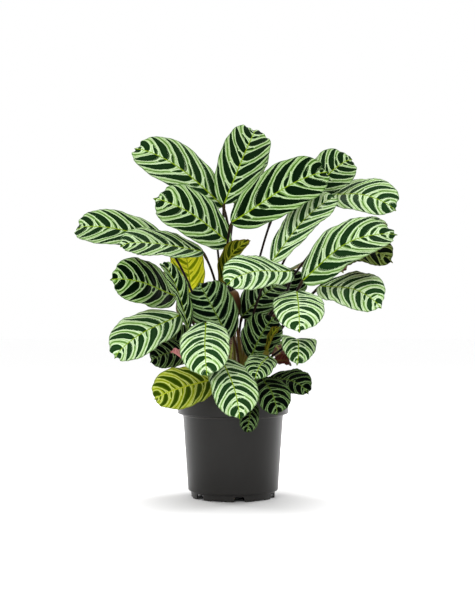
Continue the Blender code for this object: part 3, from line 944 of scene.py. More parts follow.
# 0 for the deepest colours of a blade's kind, 1 for the palest. Paleness is partly the blade's own age and
# partly painted light: blades that face the light are painted paler, those in shade darker. Paler blades
# have slimmer bars
PALENESS_AND_LIGHT = {
    "crown": 0.25, "upper_left": 0.5, "second_left": 0.3, "upper_right": 0.12,
    "right_round": 0.35, "right_shoulder": 0.8, "slanted": 1.1, "long_right": 0.6,
    "edge_right": 0.4, "mid_right": 1.05, "center": 1.0, "heart": 0.95, "small_right": 0.7,
    "left_mid": 0.0, "narrow_left": 0.1, "left_long": 0.5, "far_left": 0.45,
    "lower_left": 0.75, "front_left": 0.95, "front_center": 0.8, "tiny_front": 0.35,
    "curled_right": 0.1, "under_center": 0.75, "dark_center": 0.3, "dark_left": 0.78,
    "dark_low_left": 0.45, "front_dark": 0.2, "right_low": 0.1, "hanging_tip": 0.3,
    "shade_low_left": 0.3, "behind_center": 0.5, "yellow_back": 1.0, "young_left": 0.0,
}
USUAL_PALENESS_AND_LIGHT = 0.35

# How far each half of a rolled blade is bent round, in radians
ROLL = {"olive_upright": 2.0, "rolled_right": 2.3, "pink_spear": 2.4}


@dataclass(frozen=True)
class Wrap:
    """A broad sheath round a stalk.

    radius is its depth, spread how much wider it is than deep, shift how far it leans to +x,
    low and high where it widens along the stalk, mouth the share of its width that is left at
    the blade, and hues the ends of its part of the colours.
    """

    radius: float
    spread: float
    shift: float
    low: float
    high: float
    mouth: float
    hues: Span


WRAPS = {
    # The olive_upright wrap's hues run past the collar toward the near-black stalk colour: painted shade,
    # where it sits in shade
    "olive_upright": Wrap(4.3 * MM, 1.5, 11.5 * MM, 0.4, 0.85, 0.9, (0.29, 0.19)),
    "rolled_right": Wrap(2.8 * MM, 0.4, 0, 0.1, 0.6, 0.9, (0.10, 0.0)),
}


@dataclass(frozen=True)
class Wave:
    """A sine wave over a blade: its turns, and how many times the blade's phase it starts at."""

    turns: float
    lead: float

    def at(self, places: np.ndarray, phase: float | np.ndarray) -> np.ndarray:
        """The wave's value, from -1 to 1, at places along or across the blade."""
        return sine(self.turns * places + self.lead * phase)


@dataclass(frozen=True)
class BladeForm:
    """The sizes and shares that all blades have in common.

    fullness, the powers and the slimming shape the outline, and point is how far it runs on
    past the tip. Two waves each make the teeth at the tip and the scallops of the edge. The
    veins are the side veins, which lean and curve to the tip. The ripple between them grows
    over vein_start, outward from the midrib, and over vein_room, with the blade's width. A
    part is a stretch of a blade's length over which something grows.
    """

    rows: int = 92
    half_columns: int = 14
    column_growth: float = 1.15
    thickness: float = 0.45 * MM
    crease: float = 60
    fullness: float = 1.12
    base_powers: Span = (2.9, 0.46)
    tip_powers: Span = (3.3, 0.42)
    base_slimming: float = 0.2
    narrowest: float = 0.07
    point: float = 0.016
    point_rows: int = 7
    point_taper: float = 0.93
    tooth: float = 0.011
    coarse_teeth: Wave = Wave(1.3, 1.7)
    fine_teeth: Wave = Wave(3.1, -2.3)
    fine_share: float = 0.7
    bite: float = 0.6
    tooth_part: Span = (0.88, 0.99)
    wave: float = 1.2 * MM
    edge_wave: Wave = Wave(2.6, 1)
    edge_shift: float = 0.35
    edge_power: float = 2.5
    cup_rise: float = 1.35
    cup_fall: float = 0.75
    scallop: float = 0.014
    fine_scallops: Wave = Wave(4.7, 2)
    coarse_scallops: Wave = Wave(2.3, -1)
    ripple: float = 0.34 * MM
    veins: float = 11.2
    vein_lean: float = 0.19
    vein_curve: float = 0.2
    vein_shift: float = 0.04
    vein_start: Span = (0.02, 0.25)
    vein_room: Span = (0.2, 0.7)
    furrow: float = 0.55 * MM
    furrow_fade: float = 0.7
    rib: float = 0.8 * MM
    rib_fade: float = 0.75
    rib_width: float = 1.1 * MM
    opened: float = 0.6
    opening_part: Span = (0.45, 0.85)
    curl: float = 3.2 * MM
    curl_start: float = 0.9
    phase_step: float = 0.37
    seed_step: float = 0.618
    seed_start: float = 0.13

    def outline(self, u: np.ndarray) -> np.ndarray:
        """Half width along a blade as a share of its widest.

        It is (1 - |2 u^1.12 - 1|^2.9)^0.46 at the base, blunt and a fifth slimmer, and
        (1 - |2 u^1.12 - 1|^3.3)^0.42 at the tip, which is blunter still.
        Past the tip the narrowest width runs out to a small point.

        Args:
            u: from 0 at the base to 1 at the tip, and on into the point.

        Returns:
            The share, for each u.
        """
        inside = np.clip(u, 0, 1)
        from_middle = 2 * inside**self.fullness - 1
        squareness, bluntness = (
            np.where(from_middle > 0, at_tip, at_base)
            for at_tip, at_base in zip(self.tip_powers, self.base_powers)
        )
        blunt = np.maximum(1 - np.abs(from_middle) ** squareness, 0) ** bluntness
        share = np.maximum(blunt * (1 - self.base_slimming * (1 - inside) ** 2), self.narrowest)
        return share * (1 - self.point_taper * np.clip((u - 1) / self.point, 0, 1))

    def teeth(self, u: np.ndarray, aside: np.ndarray, phase: float) -> np.ndarray:
        """How far the blunt end of a blade runs out or in, as a share of its length.

        Two sine waves across the blade, the finer one weaker, grow from 0 at nine tenths of
        its length. They move points along the blade only, so the surface can't fold over.

        Args:
            u: along the blade.
            aside: the distance from the midrib as a share of the widest half, with its sign.
            phase: of the blade, in turns.

        Returns:
            The share, for each point.
        """
        waves = self.coarse_teeth.at(aside, phase) + self.fine_share * self.fine_teeth.at(aside, phase)
        return self.tooth * (waves - self.bite) * smooth(u, *self.tooth_part)

    def near_midrib(self, across: np.ndarray) -> np.ndarray:
        """1 at the midrib, falling like a bell to its sides."""
        return np.exp(-((across / self.rib_width) ** 2))

    def axes(self, leaf: Leaf) -> tuple[np.ndarray, np.ndarray, np.ndarray, np.ndarray]:
        """The place and the directions of a blade.

        Args:
            leaf: the blade's row.

        Returns:
            Its base, its chord in full length, and its upward and its sideways direction.
        """
        base = np.array(leaf.base, float) * MM
        chord = np.array(leaf.tip, float) * MM - base
        along = unit(chord)
        up = unit(np.array(leaf.face, float) - np.dot(leaf.face, along) * along)
        return base, chord, up, np.cross(along, up)

    def middle(
        self, leaf: Leaf, phase: float, u: np.ndarray, v: np.ndarray, roll: float = 0
    ) -> np.ndarray:
        """Points of the middle surface, for u along the blade and v from edge to edge, -1 to 1.

        The midrib is the chord lifted by a sine arch. Each half rises from the midrib and
        falls again to the edge, and a small wave runs along the edges, as in the model. The
        finer surface also has a ripple between the side veins, a furrow along the midrib, an
        edge that swings in and out a little and a tip that curls back. A rolled
        blade is bent round a circle from its midrib, and opens towards its tip.

        Args:
            leaf: the blade's row.
            phase: where the edge wave starts, in turns.
            u: from 0 at the base to 1 at the tip, and on into the point, as a column.
            v: as a row.
            roll: how far each half is rolled round, in radians, or 0 for a flat blade.

        Returns:
            The points, row by row.
        """
        base, chord, up, side = self.axes(leaf)
        edge = np.abs(v)
        half = np.sign(v)
        inside = np.clip(u, 0, 1)
        profile = self.outline(u)
        arch = leaf.arch * MM * np.sin(math.pi * u ** (1 + leaf.hook))
        wave = self.wave * self.edge_wave.at(u, phase + self.edge_shift * half) * edge**self.edge_power
        bulge = leaf.cup * MM * (self.cup_rise * edge - self.cup_fall * edge**3)
        bulge = bulge * np.sqrt(np.sin(math.pi * inside))
        notches = self.fine_scallops.at(u, phase) + self.coarse_scallops.at(u, phase)
        across = v * leaf.width * MM / 2 * profile * (1 + self.scallop * notches * edge**2)
        reach = edge * profile**0.5
        veins = u - self.vein_lean * reach - self.vein_curve * reach**3 + self.vein_shift * half
        ripple = self.ripple * np.cos(2 * math.pi * self.veins * veins)
        ripple = ripple * smooth(edge, *self.vein_start) * smooth(profile, *self.vein_room)
        furrow = self.furrow * self.near_midrib(across) * (1 - self.furrow_fade * inside)
        rise = bulge + wave * profile + ripple - furrow
        if roll:
            bend = roll * (1 - self.opened * smooth(u, *self.opening_part))
            radius = leaf.width * MM / 2 * profile / bend
            rise = radius * (1 - np.cos(v * bend)) + wave * profile
            across = radius * np.sin(v * bend)
        curl = self.curl * np.clip((u - self.curl_start) / (1 - self.curl_start), 0, 2) ** 2
        turn = np.radians(leaf.twist) * (u - 0.5)
        sideways = across * np.cos(turn) - rise * np.sin(turn)
        sideways = sideways + leaf.sway * MM * np.sin(math.pi * u)
        lifted = arch - curl + across * np.sin(turn) + rise * np.cos(turn)
        out = u + self.teeth(u, v * profile, phase)
        return base + out[..., None] * chord + lifted[..., None] * up + sideways[..., None] * side

    def build(self, name: str, leaf: Leaf, index: int, material: bpy.types.Material) -> bpy.types.Object:
        """A closed blade: an upper and a lower sheet a wall apart, joined along the edge.

        Args:
            name: of the leaf.
            leaf: its row.
            index: its place in the table, from which its wave and its pattern start.
            material: of its look.

        Returns:
            The finished object.
        """
        steps = np.linspace(-math.pi / 2, math.pi / 2, self.rows)
        beyond = 1 + self.point * np.linspace(0, 1, self.point_rows + 1)[1:]
        half = np.linspace(0, 1, self.half_columns + 1) ** self.column_growth
        u = np.concatenate((0.5 + 0.5 * np.sin(steps), beyond))[:, None]
        v = np.concatenate((-half[:0:-1], half))[None, :]
        u, v = np.broadcast_arrays(u, v)
        profile = self.outline(u)
        centre = self.middle(leaf, self.phase_step * index, u, v, ROLL.get(name, 0))
        normals = unit(np.cross(np.gradient(centre, axis=0), np.gradient(centre, axis=1)))
        _, _, up, _ = self.axes(leaf)
        normals = normals * np.sign((normals @ up).sum())
        across = v * leaf.width * MM / 2 * profile
        rib = self.rib * self.near_midrib(across) * (1 - self.rib_fade * np.clip(u, 0, 1))
        top = centre + normals * self.thickness / 2
        bottom = centre - normals * (self.thickness / 2 + rib)[..., None]
        points = np.concatenate((top.reshape(-1, 3), bottom.reshape(-1, 3)))
        rows, columns = u.shape
        count = rows * columns
        number = np.arange(count).reshape(rows, columns)
        ring = np.concatenate((number[0], number[1:, -1], number[-1, -2::-1], number[-2:0:-1, 0]))
        after = np.roll(ring, -1)
        rim = np.stack((ring, ring + count, after + count, after), axis=-1)
        upper = grid_faces(rows, columns)
        faces = np.concatenate((upper, upper[:, ::-1] + count, rim))
        flat = centre.reshape(-1, 3)
        edge = np.linalg.norm(flat[:, None] - flat[ring][None], axis=-1).min(axis=1)
        fields = {
            "blade": np.tile(np.stack((u, (v + 1) / 2), axis=-1).reshape(-1, 2), (2, 1)),
            "off_midrib": np.tile(across.ravel(), 2),
            "under": np.repeat((0.0, 1.0), count),
            "edge": np.tile(edge, 2),
            "reach": np.tile((np.abs(v) * profile**0.5).ravel(), 2),
            "seed": np.full(2 * count, (self.seed_step * index + self.seed_start) % 1),
            "pale": np.full(2 * count, PALENESS_AND_LIGHT.get(name, USUAL_PALENESS_AND_LIGHT)),
        }
        faces = facing_out(points, faces, top, normals)
        piece = add_piece(f"{name}_blade", points, faces, material, fields, self.crease)
        place(piece, leaf.tone.value, [f"leaf_{name}"])
        return piece


def facing_out(points: np.ndarray, faces: np.ndarray, top: np.ndarray, normals: np.ndarray) -> np.ndarray:
    """Turns the faces of a sheet over together if those of its top face the wrong way.

    Args:
        points: all of its points.
        faces: all of its faces, with those of its top first.
        top: the points of its top, row by row.
        normals: the outward direction at each of them.

    Returns:
        The faces.
    """
    row, column = len(top) // 2, top.shape[1] // 2
    first, second, third = points[faces[row * (top.shape[1] - 1) + column][:3]]
    agrees = np.cross(second - first, third - first) @ normals[row, column] > 0
    return faces if agrees else faces[:, ::-1]


@dataclass(frozen=True)
class StalkFinish:
    """The colours of canes and petioles, from the sheath at the cane to the joint at the blade."""

    sheath: Colour = (0.10, 0.09, 0.011)
    collar: Colour = (0.10, 0.038, 0.012)
    stalk: Colour = (0.006, 0.002, 0.0015)
    joint: Colour = (0.035, 0.022, 0.006)
    roughness: float = 0.42
    specular: float = 0.08
    relief: float = 0.2 * MM

    def material(self) -> bpy.types.Material:
        """Sheath to joint along each stalk, with fine lengthwise streaks and a few lighter flecks.

        Returns:
            The material.
        """
        paint = Paint("stalk_skin", self.roughness, self.specular)
        x, y, z = paint.axes()
        streaks = paint.noise(paint.point(x * 900, y * 900, z * 60), 1, 3)
        blotch = paint.noise(paint.point(x, y, z * 0.3), 120, 3)
        places = (-0.1, 0.1, 0.22, 0.34, 0.9, 1.0, 1.1)
        sheath, collar, stalk, joint = self.sheath, self.collar, self.stalk, self.joint
        stops = list(zip(places, (sheath, sheath, collar, stalk, stalk, joint, joint)))
        base = paint.ramp(paint.attribute("along") + blotch * 0.12, stops)
        lit = (streaks + blotch * 0.6).step(-0.1, 0.5)
        paint.colour(paint.mix(lit * 0.2, base, self.collar))
        paint.bump(streaks, self.relief, 0.6)
        return paint.material


@dataclass(frozen=True)
class Stalks:
    """The canes and the petioles that spring from them, one under another.

    A part is a stretch of a petiole's length over which something changes, and base_part the
    stretch of a blade's midrib that gives its direction there. climb and rise lift a
    petiole's two ends, lean turns its end outward, and the pulls set how far its ends hold
    their directions.
    """

    sides: int = 16
    rings: int = 56
    crease: float = 60
    cane_rings: int = 40
    cane_radius: float = 3.4 * MM
    cane_top_radius: float = 2.3 * MM
    cane_depth: float = 12 * MM
    cane_hues: float = 0.18
    cane_end: tuple[float, float, float] = (0.97, 0.8, 0.45)
    swelling: float = 0.06
    swellings: int = 5
    soil_top: float = 107 * MM
    joint_drop: float = 3 * MM
    joint_step: float = 2.5 * MM
    radius: float = 1.3 * MM
    sheath_radius: float = 2.5 * MM
    sheath_part: Span = (0.02, 0.32)
    flattening: float = 0.25
    joint_radius: float = 1.7 * MM
    joint_part: Span = (0.88, 0.94)
    joint_end: Span = (0.985, 1)
    mouth_part: Span = (0.9, 1)
    hue_part: Span = (0.85, 1)
    petiole_end: Span = (0.9, 0.7)
    base_part: Span = (0, 0.04)
    climb: float = 1.6
    lean: float = 1.2
    rise: float = 0.5
    start_pull: float = 0.4
    end_pull: float = 0.3
    entry: float = 1.2 * MM

    def tube(
        self, path: np.ndarray, radii: np.ndarray, flat: np.ndarray, hues: np.ndarray
    ) -> tuple[np.ndarray, np.ndarray, np.ndarray]:
        """A closed tube round a path: at each ring a circle, flattened across, square to the path.

        Args:
            path: one point a ring.
            radii: of each ring.
            flat: each ring's thickness as a share of its width.
            hues: each ring's place in the colours.

        Returns:
            The points, ring by ring with one more point at each end, the faces, and each
            point's place in the colours.
        """
        ways = unit(np.gradient(path, axis=0))
        plane = np.cross(ways[0], path[-1] - path[0])
        plane = unit(plane if np.linalg.norm(plane) > NEARLY_STRAIGHT else np.array([0.0, 1.0, 0.0]))
        across = unit(plane - (ways @ plane)[:, None] * ways)
        over = np.cross(ways, across)
        angle = full_turn(self.sides)
        wide = np.cos(angle)[None, :, None] * across[:, None]
        thick = np.sin(angle)[None, :, None] * over[:, None] * flat[:, None, None]
        rings = path[:, None] + radii[:, None, None] * (wide + thick)
        points = np.concatenate((rings.reshape(-1, 3), path[:1], path[-1:]))
        shown = np.concatenate((np.repeat(hues, self.sides), hues[[0, -1]]))
        return points, ring_faces(len(path), self.sides), shown

    def route(self, form: BladeForm, leaf: Leaf, order: int, t: np.ndarray) -> np.ndarray:
        """Points of a petiole's cubic, from its cane's axis into the blade's base.

        Args:
            form: the blades' form.
            leaf: the blade it carries.
            order: its place among the cane's petioles, from the top.
            t: from 0 to 1.

        Returns:
            One point for each t.
        """
        shoot = SHOOTS[leaf.shoot]
        start = np.array([shoot.x, shoot.y, shoot.top]) * MM
        start = start - (0, 0, self.joint_drop + order * self.joint_step)
        u = np.array(self.base_part, float)[:, None]
        ends = form.middle(leaf, 0, u, np.zeros_like(u))[:, 0]
        base, tangent = ends[0], unit(ends[1] - ends[0])
        reach = np.linalg.norm(base - start)
        outward = unit(base - start)
        climb = unit(outward + (0, 0, self.climb))
        arrive = unit(tangent + self.lean * outward + (0, 0, self.rise))
        end = base + self.entry * unit(arrive + tangent)
        first = start + self.start_pull * reach * climb
        second = end - self.end_pull * reach * arrive
        t = t[:, None]
        left = 1 - t
        return left**3 * start + 3 * left**2 * t * first + 3 * left * t**2 * second + t**3 * end

    def cane(self, shoot: Shoot) -> tuple[np.ndarray, np.ndarray, np.ndarray]:
        """A cane from its foot in the soil to its rounded top, with a few slight swellings.

        Args:
            shoot: its row.

        Returns:
            The points, the faces and each point's place in the colours.
        """
        share = np.linspace(0, 1, self.cane_rings)
        foot = np.array([shoot.x * MM, shoot.y * MM, self.soil_top - self.cane_depth])
        top = np.array([shoot.x, shoot.y, shoot.top]) * MM
        path = foot + share[:, None] * (top - foot)
        radii = self.cane_radius + share * (self.cane_top_radius - self.cane_radius)
        radii = radii * (1 + self.swelling * np.cos(2 * math.pi * share * self.swellings))
        radii[-3:] *= self.cane_end
        return self.tube(path, radii, np.ones_like(radii), share * self.cane_hues)

    def petiole(
        self, form: BladeForm, label: str, leaf: Leaf, order: int
    ) -> tuple[np.ndarray, np.ndarray, np.ndarray]:
        """A petiole, widest in its sheath at the cane, thin, and thicker again in its joint.

        Args:
            form: the blades' form.
            label: the name of the blade it carries.
            leaf: the row of that blade.
            order: its place among the cane's petioles, from the top.

        Returns:
            The points, the faces and each point's place in the colours.
        """
        t = np.linspace(0, 1, self.rings)
        sheath = 1 - smooth(t, *self.sheath_part)
        joint = smooth(t, *self.joint_part) * (1 - smooth(t, *self.joint_end))
        width = self.radius + (self.sheath_radius - self.radius) * sheath
        width = width + (self.joint_radius - self.radius) * joint
        flat = 1 - self.flattening * sheath
        hues = t
        path = self.route(form, leaf, order, t)
        if label in WRAPS:
            wrap = WRAPS[label]
            mouth = 1 - (1 - wrap.mouth) * smooth(t, *self.mouth_part)
            wrapped = smooth(t, wrap.low, wrap.high) * mouth
            width = width + (wrap.radius - width) * wrapped
            flat = flat + wrap.spread * wrapped
            path[:, 0] += wrap.shift * wrapped
            hues = wrap.hues[0] + (wrap.hues[1] - wrap.hues[0]) * smooth(t, *self.hue_part)
        width[-2:] *= self.petiole_end
        return self.tube(path, width, flat, hues)

    def build(self, name: str, form: BladeForm, material: bpy.types.Material) -> bpy.types.Object:
        """One cane with its petioles, the one with the highest blade on top.

        Args:
            name: of the shoot.
            form: the blades' form.
            material: of the stalks.

        Returns:
            The finished object.
        """
        own = [(label, leaf) for label, leaf in LEAVES.items() if leaf.shoot == name]
        own.sort(key=lambda row: -row[1].base[2])
        tubes = [self.cane(SHOOTS[name])]
        tubes += [self.petiole(form, label, leaf, order) for order, (label, leaf) in enumerate(own)]
        starts = np.cumsum([0] + [len(points) for points, _, _ in tubes])
        points = np.concatenate([points for points, _, _ in tubes])
        faces = np.concatenate([faces + start for (_, faces, _), start in zip(tubes, starts)])
        fields = {"along": np.concatenate([hues for _, _, hues in tubes])}
        piece = add_piece(f"shoot_{name}_stalks", points, faces, material, fields, self.crease)
        place(piece, "stem", [f"shoot_{name}"])
        return piece


@dataclass(frozen=True)
class SoilFinish:
    """The colours of potting soil and of the light grit in it."""

    dark: Colour = (0.012, 0.008, 0.006)
    light: Colour = (0.065, 0.04, 0.026)
    grit: Colour = (0.55, 0.52, 0.46)
    roughness: float = 0.95
    specular: float = 0.2
    relief: float = 1.2 * MM

    def material(self) -> bpy.types.Material:
        """Dark fibrous crumbs, with the lumps marked as grit painted pale.

        Returns:
            The material.
        """
        paint = Paint("potting_soil", self.roughness, self.specular)
        spot = paint.point(*paint.axes())
        grain = paint.noise(spot, 420, 4)
        patch = paint.noise(spot, 60, 2)
        soil = paint.mix((grain + patch * 0.8).step(-0.3, 0.4), self.dark, self.light)
        pale = paint.attribute("grit").above(0.5)
        paint.colour(paint.mix(pale, soil, self.grit))
        paint.bump(grain, self.relief, 0.8)
        return paint.material


@dataclass(frozen=True)
class Soil:
    """The soil that fills the pot: a crumbly top with loose lumps, over a plain side and bottom.

    The crumbs are two sorts of ripples, each with a wavelength, a count of waves, a seed and
    a share. lump_tilts are the angles of a lump's rings, in shares of a quarter turn.
    """

    top: float = 107 * MM
    shoulder: float = 106.4 * MM
    edge_height: float = 103 * MM
    shoulder_share: float = 0.75
    edge: float = 58.05 * MM
    waist: float = 52.55 * MM
    waist_height: float = 90.5 * MM
    ledge_height: float = 92.45 * MM
    heel: float = 46.75 * MM
    bottom: float = 8.65 * MM
    inner_share: float = 0.004
    sides: int = 150
    rings: int = 64
    crease: float = 50
    relief: float = 1.1 * MM
    settled: float = 0.3 * MM
    wall_part: Span = (0.93, 1)
    coarse_crumbs: tuple[float, int, int, float] = (14 * MM, 24, 3, 0.45)
    fine_crumbs: tuple[float, int, int, float] = (4.5 * MM, 40, 4, 0.5)
    lumps: int = 520
    lump_seed: int = 11
    lump_sides: int = 8
    lump_tilts: tuple[float, ...] = (-0.95, -0.45, 0.15, 0.7)
    lump_scale: float = 0.55 * MM
    lump_limits: Span = (0.4 * MM, 2.6 * MM)
    dent: float = 0.22
    dent_limits: Span = (0.6, 1.4)
    wall_gap: float = 4 * MM
    grit_share: float = 0.07

    def height(self, radius: np.ndarray) -> np.ndarray:
        """The soil's level at a distance from the axis, before its relief."""
        places = (0, self.shoulder_share * self.edge, self.edge)
        return np.interp(radius, places, (self.top, self.shoulder, self.edge_height))

    def relief_at(self, points: np.ndarray) -> np.ndarray:
        """Crumbs: coarse and fine random ripples added together, in metres."""
        sorts = (self.coarse_crumbs, self.fine_crumbs)
        return self.relief * sum(share * ripples(points, *sort) for *sort, share in sorts)

    def build(self, material: bpy.types.Material) -> bpy.types.Object:
        """The soil with its lumps, in one piece.

        The top is a grid of rings from the axis to the wall, lifted by the relief, which
        fades at the wall. Each lump is a ball of few faces, stretched, turned and dented by
        seeded draws, and sunk by half into the top.

        Args:
            material: of the soil.

        Returns:
            The finished object.
        """
        angle = full_turn(self.sides)[None, :]
        radius = (np.linspace(self.inner_share, 1, self.rings) * self.edge)[:, None]
        flat = around(radius, angle, self.height(radius))
        fade = 1 - smooth(radius / self.edge, *self.wall_part)
        flat[..., 2] += self.relief_at(flat) * fade - self.settled
        section = np.array([
            (self.edge, self.ledge_height),
            (self.waist, self.waist_height),
            (self.heel, self.bottom),
            (self.inner_share * self.edge, self.bottom),
        ])
        side = around(section[:, :1], angle, section[:, 1:])
        middle = (flat[0].mean(axis=0), side[-1].mean(axis=0))
        body = np.concatenate((flat.reshape(-1, 3), side.reshape(-1, 3), middle))
        faces = ring_faces(self.rings + len(section), self.sides, turned_over=True)
        lumps, lump_faces, grit = self.loose_lumps()
        points = np.concatenate((body, lumps))
        faces = np.concatenate((faces, lump_faces + len(body)))
        fields = {"grit": np.concatenate((np.zeros(len(body)), grit))}
        piece = add_piece("soil_crumbs", points, faces, material, fields, self.crease)
        place(piece, "soil", ["soil"])
        return piece

    def loose_lumps(self) -> tuple[np.ndarray, np.ndarray, np.ndarray]:
        """Loose lumps on the top.

        Returns:
            The points, the faces, and 1 for each point of a grain of grit, 0 for the others.
        """
        draw = np.random.default_rng(self.lump_seed)
        tilt = np.array(self.lump_tilts)[:, None] * math.pi / 2
        ball = around(np.cos(tilt), full_turn(self.lump_sides), np.sin(tilt)).reshape(-1, 3)
        ball = np.concatenate((ball, [(0, 0, -1), (0, 0, 1)]))
        faces = ring_faces(len(tilt), self.lump_sides)
        sizes = draw.uniform(0.5, 1, (self.lumps, 1, 3))
        sizes = sizes * draw.gamma(3, self.lump_scale, (self.lumps, 1, 1))
        dents = 1 + self.dent * draw.normal(size=(self.lumps, len(ball), 1))
        shapes = ball[None] * np.clip(dents, *self.dent_limits) * np.clip(sizes, *self.lump_limits)
        spin = draw.uniform(0, 2 * math.pi, self.lumps)[:, None]
        turned = np.stack((
            shapes[..., 0] * np.cos(spin) - shapes[..., 1] * np.sin(spin),
            shapes[..., 0] * np.sin(spin) + shapes[..., 1] * np.cos(spin),
            shapes[..., 2],
        ), axis=-1)
        far = (self.edge - self.wall_gap) * np.sqrt(draw.uniform(0, 1, self.lumps))
        spots = around(far, draw.uniform(0, 2 * math.pi, self.lumps), self.height(far))
        spots[:, 2] += self.relief_at(spots)
        points = turned + spots[:, None]
        numbers = faces[None] + len(ball) * np.arange(self.lumps)[:, None, None]
        grit = np.repeat(draw.uniform(size=self.lumps) < self.grit_share, len(ball)).astype(float)
        return points.reshape(-1, 3), numbers.reshape(-1, 4), grit


@dataclass(frozen=True)
class PotFinish:
    """Dark grey moulded plastic, dusty at its foot, with a painted highlight along its bead."""

    colour: Colour = (0.0105, 0.0100, 0.0092)
    # The lighter grey of the dust low down, and of the painted highlight along the bead
    dust_and_highlight: Colour = (0.030, 0.028, 0.026)
    roughness: float = 0.38
    specular: float = 0.22
    relief: float = 0.12 * MM
    dust_height: float = 22 * MM
    # Where the painted highlight along the bead lies, and how wide it is
    bead_highlight_height: float = 89.5 * MM
    bead_highlight_width: Span = (1.4 * MM, 0.5 * MM)

    def material(self) -> bpy.types.Material:
        """Even grey with a fine grain, faint flow marks, a painted highlight along the bead and a little
        dust low down.

        Returns:
            The material.
        """
        paint = Paint("pot_plastic", self.roughness, self.specular)
        x, y, z = paint.axes()
        spot = paint.point(x, y, z)
        grain = paint.noise(spot, 900, 2)
        cloud = paint.noise(spot, 22, 3)
        rings = paint.noise(paint.point(0.0, 0.0, z * 1400), 1, 2)
        low = z.step(self.dust_height, 0) * (cloud + 0.5)
        scuffs = paint.noise(paint.point(x * 30, y * 30, z * 160), 1, 4).step(0.18, 0.4)
        # The bead is painted lighter: a painted highlight where it catches the light
        bead = (z - self.bead_highlight_height).size().step(*self.bead_highlight_width)
        share = low * 0.5 + scuffs * 0.12 + cloud * 0.2 + 0.08 + bead * 1.6
        paint.colour(paint.mix(share.higher(0), self.colour, self.dust_and_highlight))
        paint.rough(cloud * 0.12 + grain * 0.06 + scuffs * 0.08 + self.roughness)
        paint.bump(grain * 0.5 + rings * 0.35, self.relief, 0.7)
        return paint.material


